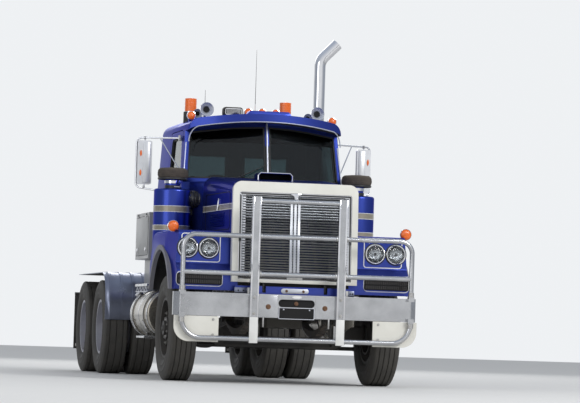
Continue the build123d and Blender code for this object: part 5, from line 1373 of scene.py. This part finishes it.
def makeHoodTrim(values):
    (frontHalf, frontStation), (rearHalf, rearStation) = values["front"], values["rear"]
    right = Vector((rearHalf - frontHalf, rearStation - frontStation, 0)).normalized()
    up = Vector((0, 0, 1))
    out = right.cross(up)
    origin = at(frontHalf, frontStation, 0)
    bm = bmesh.new()
    near, far, low, high = values["panel"]
    outline = roundedBox((far - near) / 2, low, high, 0.045, 6, (near + far) / 2)
    putBoth(bm, frameShape(outline, values["groove"], 0.0025, origin, right, up), 0)
    low, high = values["stripe"]
    for start, end in ((0.02, near - 0.004), (near + 0.010, far - 0.010), (far + 0.004, 1.325)):
        border = 0.005
        for foot, head, rise, material in (
            (low, high, 0.0015, 1), (low - border, low, 0.002, 2), (high, high + border, 0.002, 2),
        ):
            strip = [(start, foot), (end, foot), (end, head), (start, head)]
            putBoth(bm, prismShape(strip, rise, origin, right, up), material)
    place, height = values["latch"]
    plate = roundedBox(0.016, height - 0.045, height + 0.045, 0.012, 4, place)
    putBoth(bm, prismShape(plate, 0.010, origin, right, up, 0.003), 3)
    putBoth(bm, rodShape(origin + right * place + up * (height + 0.02) + out * 0.008,
                         origin + right * place + up * (height - 0.075) + out * 0.016, 0.006, segments=12), 3)
    start, end, foot = values["louvreSpan"]
    for index in range(values["louvres"]):
        z = foot + index * 0.024
        ramp = prismShape([(0, 0), (0, 0.017), (0.012, 0.004)], end - start, origin + right * end + up * z, out, up)
        putBoth(bm, ramp, 4)
    half, station, low, high = values["scoop"]
    lip = [at(-half, station, low), at(-half, station, high - 0.026), at(-half + 0.026, station, high),
           at(half - 0.026, station, high), at(half, station, high - 0.026), at(half, station, low)]
    put(bm, tubeShape(lip, 0.006, sides=3), 3)
    names = ["grilleDark", "bandGold", "whitePaint", "chrome", "bodyBlue"]
    makePiece("hood_trim", bm, names, "hood")


makeHoodTrim(hoodTrim)
print("Bonnet trimmed")


# Fuel tanks and steps: rolled seams, filler caps, strap tensioners, tread plate and a lattice brace
tank = {
    "x": 0.930, "height": 0.670, "radius": 0.250, "seams": (1.020, 1.560, 2.100), "filler": (2.030, 38),
    "straps": (1.200, 1.920), "treads": ((0.735, 1.165, 1.135, 1.890, 0.982), (1.020, 1.180, 1.130, 1.615, 0.437)),
    "brace": (1.160, 1.135, 1.885, 0.900, 0.951), "bays": 8,
}


def makeTankTrim(values):
    bm = bmesh.new()
    x, height, radius = values["x"], values["height"], values["radius"]
    for station in values["seams"]:
        seam = ((-0.001, -0.009), (0.003, -0.007), (0.004, 0), (0.003, 0.007), (-0.001, 0.009))
        seam = [(radius + rise, along) for rise, along in seam]
        putBoth(bm, latheShape(seam, at(x, station, height), rearward, 64), 0)
    station, lean = values["filler"]
    axis = Vector((math.sin(math.radians(lean)), 0, math.cos(math.radians(lean))))
    neck = at(x, station, height) + axis * (radius - 0.006)
    cap = [(0.034, 0), (0.034, 0.022), (0.046, 0.022), (0.048, 0.026), (0.048, 0.042), (0.044, 0.046), (0.0, 0.047)]
    putBoth(bm, latheShape(cap, neck, axis, 32), 1)
    bar = blockShape((-0.040, -0.007, 0.044), (0.040, 0.007, 0.060), 0.003)
    bar.transform(Matrix.Translation(neck) @ axis.to_track_quat("Z", "Y").to_matrix().to_4x4())
    putBoth(bm, bar, 1)
    for strap in values["straps"]:
        for angle in (-25, 150):
            turn = math.radians(angle)
            way = Vector((math.cos(turn), 0, math.sin(turn)))
            along = Vector((-way.z, 0, way.x))
            spot = at(x, strap, height) + way * (radius + 0.014)
            for shift in (-0.018, 0.018):
                step = Vector((0, shift, 0))
                putBoth(bm, rodShape(spot + step - along * 0.055, spot + step + along * 0.055, 0.005, segments=10), 1)
            for reach in (-0.045, 0.045):
                lug, half = spot + along * reach, Vector((0, 0.030, 0))
                putBoth(bm, rodShape(lug - half, lug + half, 0.009, segments=12, bevel=0.002), 2)
    for left, right, near, far, top in values["treads"]:
        across, along = round((right - left) / 0.036), round((far - near) / 0.036)
        for row in range(along):
            for column in range(across):
                x = left + (column + 0.5) * (right - left) / across
                spot = at(x, near + (row + 0.5) * (far - near) / along, top)
                bar = blockShape((-0.012, -0.0028, -0.0005), (0.012, 0.0028, 0.0018))
                lean = math.radians(45 if (row + column) % 2 else -45)
                bar.transform(Matrix.Translation(spot) @ Matrix.Rotation(lean, 4, "Z"))
                putBoth(bm, bar, 0)
    x, near, far, low, high = values["brace"]
    putBoth(bm, tubeShape([at(x, near, low), at(x, far, low)], 0.007), 3)
    for bay in range(values["bays"]):
        start, end = [near + (far - near) * (bay + share) / values["bays"] for share in (0, 1)]
        heights = (low, high) if bay % 2 == 0 else (high, low)
        putBoth(bm, tubeShape([at(x, start, heights[0]), at(x, end, heights[1])], 0.006, sides=2), 3)
    makePiece("tank_trim", bm, ["polished", "chrome", "zinc", "brightPlate"], "chassis")


makeTankTrim(tank)


# Rear end: flap weights and bolts, stay clamps, lamp lenses in three colours
rearEnd = {
    "flap": (0.640, 1.195, 6.227), "flapBolts": 5, "stays": (3.960, 4.560, 5.220, 5.820), "stayHeight": 0.905,
    "lamp": (0.355, 0.555, 0.780, 0.880, 6.275),
}


def makeRearTrim(values):
    bm = bmesh.new()
    left, right, station = values["flap"]
    for face, out in ((station + 0.003, 1), (station - 0.003, -1)):
        low, high = at(left, face, 0.285), at(right, face + out * 0.004, 0.320)
        putBoth(bm, blockShape(Vector(map(min, low, high)), Vector(map(max, low, high)), 0.001), 0)
    for x in evenly(left + 0.04, right - 0.04, values["flapBolts"]):
        putBoth(bm, boltShape(at(x, station + 0.004, 0.880), rearward, 0.008), 0)
        putBoth(bm, boltShape(at(x, station + 0.007, 0.302), rearward, 0.005), 0)
    for stay in values["stays"]:
        for x in (0.520, 0.590):
            clamp = bandProfile(0.018, -0.014, 0.014, 0.012)
            putBoth(bm, latheShape(clamp, at(x, stay, values["stayHeight"]), sideways, 20), 1)
            putBoth(bm, boltShape(at(x, stay, values["stayHeight"] + 0.028), upward, 0.007), 0)
    left, right, low, high, face = values["lamp"]
    third = (right - left) / 3
    for index in range(3):
        near = left + third * index
        outline = roundedBox(third / 2 - 0.004, low + 0.008, high - 0.008, 0.010, 4, near + third / 2)
        panel = prismShape(outline, -0.006, at(0, face, 0), *facing, 0.002)
        putBoth(bm, panel, (4, 3, 2)[index])
    rim = roundedBox((right - left) / 2, low, high, 0.012, 4, (left + right) / 2)
    putBoth(bm, frameShape(rim, 0.005, -0.008, at(0, face, 0), *facing), 1)
    makePiece("rear_trim", bm, ["zinc", "trimDark", "amberLens", "redLens", "clearLens"], "chassis")


makeRearTrim(rearEnd)


# Locker: a raised door on each side with hinges, a paddle latch and bolts; lids and straps on the smaller boxes
locker = {
    "faces": ((-0.900, -1), (0.775, 1)), "near": 2.790, "far": 3.690, "low": 1.280, "high": 1.790,
    "door": 0.045, "battery": (0.435, 1.000, 2.330, 2.680, 0.900), "tank": (0.250, 0.780, 0.120, 2.600, 3.400),
}


def makeLockerTrim(values):
    bm = bmesh.new()
    middle, half = (values["near"] + values["far"]) / 2, (values["far"] - values["near"]) / 2
    for x, side in values["faces"]:
        right = Vector((0, side, 0))
        place = at(x, middle, 0)
        inset = values["door"]
        low, high = values["low"] + inset, values["high"] - inset
        put(bm, prismShape(roundedBox(half - inset, low, high, 0.030, 5), 0.004, place, right, upward, 0.0015), 0)
        seam = roundedBox(half - inset + 0.007, low - 0.007, high + 0.007, 0.036, 5)
        put(bm, frameShape(seam, 0.006, 0.002, place, right, upward), 1)
        out = Vector((side, 0, 0))
        for u in (-0.28, 0.28):
            hinge, reach = at(x + side * 0.006, middle + u, high), Vector((0, 0.045, 0))
            put(bm, rodShape(hinge - reach, hinge + reach, 0.008, segments=14, bevel=0.002), 2)
            put(bm, boltShape(at(x + side * 0.002, middle + u, values["high"] - 0.020), out, 0.008), 1)
            latch = at(x + side * 0.004, middle + u, low + 0.055)
            put(bm, prismShape(roundedBox(0.045, -0.032, 0.032, 0.010, 4), 0.004, latch, right, upward, 0.001), 2)
            put(bm, prismShape(roundedBox(0.030, -0.012, 0.020, 0.008, 3), 0.010, latch, right, upward, 0.003), 3)
    left, right, near, far, top = values["battery"]
    lip = 0.006
    put(bm, blockShape(at(left - lip, near - lip, top - 0.030), at(right + lip, far + lip, top + lip), 0.004), 1)
    for x in (left + 0.12, right - 0.12):
        put(bm, blockShape(at(x - 0.014, near - 0.010, 0.560), at(x + 0.014, near - 0.004, top + 0.010), 0.002), 2)
        put(bm, blockShape(at(x - 0.014, near - 0.010, top + 0.006), at(x + 0.014, far + 0.010, top + 0.011), 0.002), 2)
        put(bm, boltShape(at(x, near - 0.010, 0.720), forward, 0.010), 2)
    x, height, radius, near, far = values["tank"]
    for station in (near + 0.14, far - 0.14):
        putBoth(bm, latheShape(bandProfile(radius, -0.016, 0.016, 0.004), at(x, station, height), rearward, 40), 2)
    for station in (near, far):
        putBoth(bm, rodShape(at(x, station - 0.03, height), at(x, station + 0.03, height), 0.014, segments=6), 2)
    makePiece("locker_trim", bm, ["greyPaint", "chassisBlack", "zinc", "chrome"], "chassis")


makeLockerTrim(locker)
print("Tanks, steps and boxes fitted out")


# Chassis: bolt rows along the rails, air and brake lines, coupling pins, release bar and silencer clamps
chassisTrim = {
    "rail": 0.435, "rows": (0.735, 0.925), "start": -0.50, "end": 6.10, "pitch": 0.22, "lines": (0.800, 0.824, 0.848),
    "coupling": (4.770, 1.230, 0.460), "stack": (0.955, 2.800, 0.120), "clamps": (1.380, 1.810, 2.240),
}


def makeChassisTrim(values):
    bm = bmesh.new()
    count = round((values["end"] - values["start"]) / values["pitch"])
    for station in evenly(values["start"], values["end"], count + 1):
        for row in values["rows"]:
            spot = at(values["rail"], station, row)
            putBoth(bm, rodShape(spot - Vector((0.001, 0, 0)), spot + Vector((0.009, 0, 0)), 0.011, 0.010, 6), 0)
    for index, height in enumerate(values["lines"]):
        drop = height - 0.03
        corners = ((2.30, height), (3.70, height), (3.78, drop), (6.05, drop))
        route = roundedPath([at(0.445, station, z) for station, z in corners], 0.08)
        putBoth(bm, tubeShape(route, 0.006, sides=2), 1 if index else 2)
        for step in range(8):
            station = 2.45 + step * 0.48
            clip = at(0.446, station, drop if station > 3.74 else height)
            low, high = clip - Vector((0.010, 0.008, 0.009)), clip + Vector((0.008, 0.008, 0.009))
            putBoth(bm, blockShape(low, high, 0.002), 0)
    middle, top, half = values["coupling"]
    for radius in (0.20, 0.31, 0.40):
        groove = [(radius * math.cos(math.radians(a)), radius * math.sin(math.radians(a))) for a in range(-60, 241, 10)]
        put(bm, tubeShape([at(x, middle - y, top + 0.0005) for x, y in groove], 0.0035, sides=2), 3)
    for x in (-0.36, 0.36):
        for shift in (-0.14, 0.14):
            put(bm, boltShape(at(x, middle + shift, top - 0.002), upward, 0.012), 0)
    corners = ((-0.10, 0.06), (-0.50, 0.10), (-0.56, 0.10), (-0.56, 0.18))
    handle = [at(x, middle + shift, top - 0.065) for x, shift in corners]
    put(bm, tubeShape(roundedPath(handle, 0.03), 0.009), 0)
    x, station, radius = values["stack"]
    for height in values["clamps"]:
        ring = [(radius, -0.014), (radius + 0.004, -0.013), (radius + 0.004, 0.013), (radius, 0.014)]
        put(bm, latheShape(ring, at(x, station, height), upward, 56), 4)
        put(bm, boltShape(at(x - 0.02, station - radius - 0.002, height), forward, 0.008), 0)
    names = ["zinc", "hose", "copperPipe", "grilleDark", "chrome"]
    makePiece("chassis_trim", bm, names, "chassis")


makeChassisTrim(chassisTrim)


# Engine bay, seen with the bonnet up: cover bolts, filler cap, alternator, hoses and radiator core
engineBay = {
    "cover": (0.150, -0.38, 0.57, 1.530), "bolts": 6, "core": (0.500, -0.558, 1.00, 1.76), "fins": 42,
    "alternator": (0.300, -0.250, 1.060, 0.065), "topHose": 0.026,
}


def makeEngineTrim(values):
    bm = bmesh.new()
    half, near, far, top = values["cover"]
    for station in evenly(near + 0.05, far - 0.05, values["bolts"]):
        put(bm, boltShape(at(0, station, top), upward, 0.011), 0)
        for x in (-half - 0.012, half + 0.012):
            put(bm, boltShape(at(x, station, 1.432), upward, 0.009), 0)
    cap = [(0.030, 0), (0.030, 0.018), (0.040, 0.020), (0.040, 0.040), (0.034, 0.046), (0.0, 0.047)]
    put(bm, latheShape(cap, at(0.06, 0.30, top), upward, 28), 1)
    wide, station, low, high = values["core"]
    for index in range(values["fins"]):
        z = low + (high - low) * (index + 0.5) / values["fins"]
        put(bm, blockShape(at(-wide, station - 0.001, z - 0.0035), at(wide, station + 0.004, z + 0.0035)), 2)
    x, station, height, radius = values["alternator"]
    body = [(0, -0.06), (radius * 0.8, -0.06), (radius, -0.045), (radius, 0.045), (radius * 0.8, 0.06), (0, 0.06)]
    put(bm, latheShape(body, at(x, station, height), rearward, 32), 0)
    pulley = [
        (0.012, -0.085), (0.036, -0.085), (0.036, -0.078), (0.028, -0.074),
        (0.036, -0.070), (0.036, -0.062), (0.0, -0.060),
    ]
    put(bm, latheShape(pulley, at(x, station, height), rearward, 28), 1)
    far = x - radius * 0.8
    put(bm, blockShape(at(0.225, station - 0.03, height - 0.02), at(far, station + 0.03, height + 0.02), 0.004), 0)
    corners = ((-0.16, -0.560, 1.700), (-0.16, -0.440, 1.700), (-0.12, -0.400, 1.620), (-0.06, -0.30, 1.500))
    route = roundedPath([at(*corner) for corner in corners], 0.07)
    put(bm, tubeShape(route, values["topHose"]), 3)
    for end, way in ((route[0], Vector((0, 1, 0))), (route[-1], (route[-1] - route[-2]).normalized() * -1)):
        put(bm, latheShape(bandProfile(values["topHose"], 0.018, 0.030, 0.003), end, way, 28), 1)
    names = ["zinc", "trimDark", "copperPipe", "hose"]
    makePiece("engine_trim", bm, names, "chassis")


makeEngineTrim(engineBay)
print("Chassis and engine bay fitted out")


# Cab inside: instruments before the wheel, a glove box, gear lever, pedals and a dark demister strip
inside = {
    "dashFace": 1.330, "dials": ((-0.500, 1.900, 0.046), (-0.400, 1.905, 0.046), (-0.300, 1.900, 0.046),
                                 (-0.230, 1.935, 0.024), (-0.230, 1.870, 0.024), (-0.570, 1.870, 0.024)),
    "lever": (0.020, 1.620, 1.160, 1.640), "pedals": (-0.500, -0.400, -0.300),
    "wheelCentre": (-0.400, 1.600, 1.965), "wheelAxis": (0, 170, 150),
}


def makeCabinTrim(values):
    bm = bmesh.new()
    face = values["dashFace"]
    panel = roundedBox(0.235, 1.815, 1.970, 0.020, 5, -0.400)
    put(bm, prismShape(panel, -0.006, at(0, face, 0), *facing, 0.002), 0)
    for x, z, radius in values["dials"]:
        centre = at(x, face + 0.006, z)
        rim = [(radius, 0.0), (radius, 0.006), (radius - 0.004, 0.008), (radius - 0.006, 0.002)]
        put(bm, latheShape(rim, centre, rearward, 36), 1)
        put(bm, latheShape([(radius - 0.005, 0.002), (0, 0.002)], centre, rearward, 36), 2)
        for index in range(9):
            turn = math.radians(-30 + 30 * index)
            way = Vector((math.cos(turn), 0, math.sin(turn)))
            mark = centre + Vector((0, 0.003, 0)) + way * (radius - 0.010)
            put(bm, rodShape(mark, mark - way * radius * 0.10, 0.0009, segments=4), 3)
        way = Vector((math.cos(2.3), 0, math.sin(2.3)))
        hub = centre + Vector((0, 0.004, 0))
        put(bm, rodShape(hub, hub + way * radius * 0.68, 0.0012, 0.0006, 6), 4)
    put(bm, frameShape(roundedBox(0.190, 1.800, 1.955, 0.015, 4, 0.400), 0.004, -0.003, at(0, face, 0), *facing), 1)
    put(bm, blockShape(at(0.370, face, 1.925), at(0.430, face + 0.012, 1.940), 0.003), 1)
    for x in (-0.62, -0.08, 0.12, 0.66):
        for index in range(5):
            z = 1.915 + index * 0.011
            put(bm, blockShape(at(x - 0.045, face, z), at(x + 0.045, face + 0.006, z + 0.004)), 0)
    put(bm, blockShape(at(-0.60, 1.060, 1.988), at(0.60, 1.100, 2.006), 0.006, 3), 5)
    x, station, foot, top = values["lever"]
    boot = [
        (0.075, 0.0), (0.070, 0.02), (0.058, 0.03), (0.062, 0.045),
        (0.045, 0.06), (0.048, 0.075), (0.020, 0.11), (0.0, 0.11),
    ]
    put(bm, latheShape(boot, at(x, station, foot), (0, 0.05, 1), 32), 0)
    stick = [at(x, station, foot + 0.08), at(x, station + 0.04, foot + 0.25), at(x - 0.03, station - 0.02, top - 0.02)]
    put(bm, tubeShape(roundedPath(stick, 0.15), 0.009), 1)
    knob = [(0.0, -0.030), (0.018, -0.026), (0.030, -0.008), (0.030, 0.010), (0.020, 0.026), (0.0, 0.031)]
    put(bm, latheShape(knob, at(x - 0.03, station - 0.02, top), upward, 28), 0)
    for x in values["pedals"]:
        pad = blockShape((-0.035, -0.006, -0.045), (0.035, 0.006, 0.045), 0.004)
        pad.transform(Matrix.Translation(at(x, 1.180, 1.270)) @ Matrix.Rotation(math.radians(-35), 4, "X"))
        put(bm, pad, 0)
        put(bm, tubeShape([at(x, 1.172, 1.275), at(x, 1.02, 1.50)], 0.007), 1)
    names = ["trimDark", "chrome", "dialFace", "whitePaint", "amberLens", "liningGrey"]
    makePiece("cabin_trim", bm, names, "chassis")
    bm = bmesh.new()
    axis = Vector(values["wheelAxis"]).normalized()
    x, station, height = values["wheelCentre"]
    boss = [(0.052, 0.010), (0.056, 0.018), (0.050, 0.030), (0.030, 0.036), (0.0, 0.038)]
    ring = [(0.034, 0.0365), (0.036, 0.0385), (0.038, 0.0345)]
    for material, profile in enumerate((boss, ring)):
        put(bm, latheShape(profile, at(x, station, height), axis, 36), material)
    makePiece("steering_boss", bm, ["trimDark", "chrome"], "steering_wheel")


makeCabinTrim(inside)


# Seats: swollen cloth cushions with piping, on a steel pedestal
seat = {
    "places": (-0.400, 0.400), "voxel": 0.007, "pressure": 4.0, "cap": 0.024, "shrink": 0.016,
    "pads": (("cushion", (-0.245, 1.765, 1.455), (0.245, 2.270, 1.590)),
             ("back", (-0.235, 2.285, 1.560), (0.235, 2.395, 2.145))),
    "piping": 0.005, "pipingInset": 0.012, "pipingDrop": 0.022,
}


def stuffedMesh(low, high, values):
    shrink = Vector([values["shrink"]] * 3)
    bm = blockShape(at(*low) + shrink, at(*high) - shrink, 0.030, 4)
    mesh = bpy.data.meshes.new("pad")
    bm.to_mesh(mesh)
    bm.free()
    pad = bpy.data.objects.new("pad", mesh)
    scene.collection.objects.link(pad)
    remesh = pad.modifiers.new("even faces", "REMESH")
    remesh.mode = "VOXEL"
    remesh.voxel_size = values["voxel"]
    graph = bpy.context.evaluated_depsgraph_get()
    even = bpy.data.meshes.new_from_object(pad.evaluated_get(graph))
    pad.modifiers.clear()
    pad.data = even
    start = [vert.co.copy() for vert in even.vertices]
    cloth = pad.modifiers.new("stuffing", "CLOTH")
    cloth.settings.use_pressure = True
    cloth.settings.uniform_pressure_force = values["pressure"]
    cloth.settings.effector_weights.gravity = 0
    for number in range(1, 21):
        scene.frame_set(number)
    graph = bpy.context.evaluated_depsgraph_get()
    swollen = bpy.data.meshes.new_from_object(pad.evaluated_get(graph))
    pad.modifiers.clear()
    for vert, before, after in zip(even.vertices, start, swollen.vertices):
        move = after.co - before
        vert.co = before + move * min(1.0, values["cap"] / max(move.length, 0.0001))
    bpy.data.meshes.remove(swollen)
    scene.frame_set(1)
    bpy.data.objects.remove(pad)
    return even


def makeSeats(values):
    frames = bmesh.new()
    inset, drop = values["pipingInset"], values["pipingDrop"]
    for name, low, high in values["pads"]:
        even = stuffedMesh(low, high, values)
        for number, x in enumerate(values["places"], 1):
            bm = bmesh.new()
            bm.from_mesh(even)
            bmesh.ops.translate(bm, vec=(x, 0, 0), verts=bm.verts)
            piece = makePiece(f"seat_{name}_{number}", bm, ["seatCloth"], "chassis", ("seats",), 180)
            subdivision = piece.modifiers.new("smooth", "SUBSURF")
            subdivision.levels = subdivision.render_levels = 1
            if name == "cushion":
                edge = roundedBox(high[0] - inset, low[1] + inset, high[1] - inset, 0.05)
                loop = [at(x + u, v, high[2] - drop) for u, v in edge]
            else:
                edge = roundedBox(high[0] - inset, low[2] + inset, high[2] - inset, 0.05)
                loop = [at(x + u, low[1] + drop, v) for u, v in edge]
            put(frames, tubeShape(loop, values["piping"], True, 2), 0)
        bpy.data.meshes.remove(even)
    for x in values["places"]:
        put(frames, blockShape(at(x - 0.170, 1.850, 1.145), at(x + 0.170, 2.200, 1.420), 0.012), 1)
        put(frames, blockShape(at(x - 0.225, 1.790, 1.420), at(x + 0.225, 2.260, 1.452), 0.006), 1)
        lever = [at(x + 0.235, station, z) for station, z in ((2.10, 1.40), (2.02, 1.46), (1.98, 1.50))]
        put(frames, tubeShape(lever, 0.008), 2)
        for side in (-0.21, 0.21):
            put(frames, tubeShape([at(x + side, 2.240, 1.440), at(x + side, 2.335, 1.600)], 0.012), 1)
    makePiece("seat_frames", frames, ["rubber", "chassisBlack", "chrome"], "chassis", ("seats",))


makeSeats(seat)
print("Cab inside fitted out")


# Studio: pale floor, a room that is dimmer at its sides and above, three soft lamps
studio = {
    "floor": (0.66, 0.655, 0.64), "backdrop": (0.86, 0.88, 0.90), "roomSide": (0.34, 0.37, 0.42),
    "roomTop": (0.42, 0.48, 0.58), "skyStrength": 0.62,
    "lamps": (
        ("key", (10.0, -18.0, 12.0), 7.0, 2300),
        ("fill", (-14.0, -14.0, 6.0), 9.0, 500),
        ("rim", (2.0, 14.0, 9.0), 8.0, 600),
    ),
}


def makeStudio(values):
    bm = bmesh.new()
    bmesh.ops.create_grid(bm, x_segments=1, y_segments=1, size=60)
    mesh = bpy.data.meshes.new("floor")
    bm.to_mesh(mesh)
    bm.free()
    material = makeFinish("floorPaint", colour=values["floor"], rough=0.85, top=0.0, low=0.0, mottle=0.06,
                          bump=0.05, grainScale=30)
    mesh.materials.append(material)
    floor = bpy.data.objects.new("floor", mesh)
    scene.collection.objects.link(floor)
    world = bpy.data.worlds.new("studio")
    world.use_nodes = True
    scene.world = world
    tree = world.node_tree
    tree.nodes.clear()
    out = tree.nodes.new("ShaderNodeOutputWorld")
    seen = node(tree, "LightPath")
    direct = maths(tree, "MAXIMUM", seen.outputs["Is Camera Ray"], seen.outputs["Is Transmission Ray"])
    direct = maths(tree, "MAXIMUM", direct, seen.outputs["Is Glossy Ray"])
    # Metal sees a pale backdrop ahead and behind and a dimmer room elsewhere; the camera sees only the backdrop
    way = node(tree, "SeparateXYZ", Vector=node(tree, "TexCoord").outputs["Generated"]).outputs
    aside = remap(tree, maths(tree, "ABSOLUTE", way[0]), 0.45, 0.95)
    above = remap(tree, way[2], 0.15, 0.9)
    room = mixColour(tree, aside, (*values["backdrop"], 1), (*values["roomSide"], 1))
    room = mixColour(tree, above, room, (*values["roomTop"], 1))
    room = mixColour(tree, seen.outputs["Is Camera Ray"], room, (*values["backdrop"], 1))
    lightShader = node(tree, "Background", Color=(0.90, 0.94, 1.0, 1), Strength=values["skyStrength"])
    seenShader = node(tree, "Background", Color=room, Strength=1.0)
    mix = node(tree, "MixShader", i0=direct, i1=lightShader.outputs[0], i2=seenShader.outputs[0])
    tree.links.new(mix.outputs[0], out.inputs[0])
    for name, place, size, power in values["lamps"]:
        lamp = bpy.data.lights.new(name, "AREA")
        lamp.size = size
        lamp.energy = power
        holder = bpy.data.objects.new(name, lamp)
        holder.location = place
        holder.rotation_mode = "QUATERNION"
        holder.rotation_quaternion = (Vector((0, -1, 1)) - Vector(place)).to_track_quat("-Z", "Y")
        scene.collection.objects.link(holder)
    scene.view_settings.view_transform = "Standard"


makeStudio(studio)
print("Studio ready")
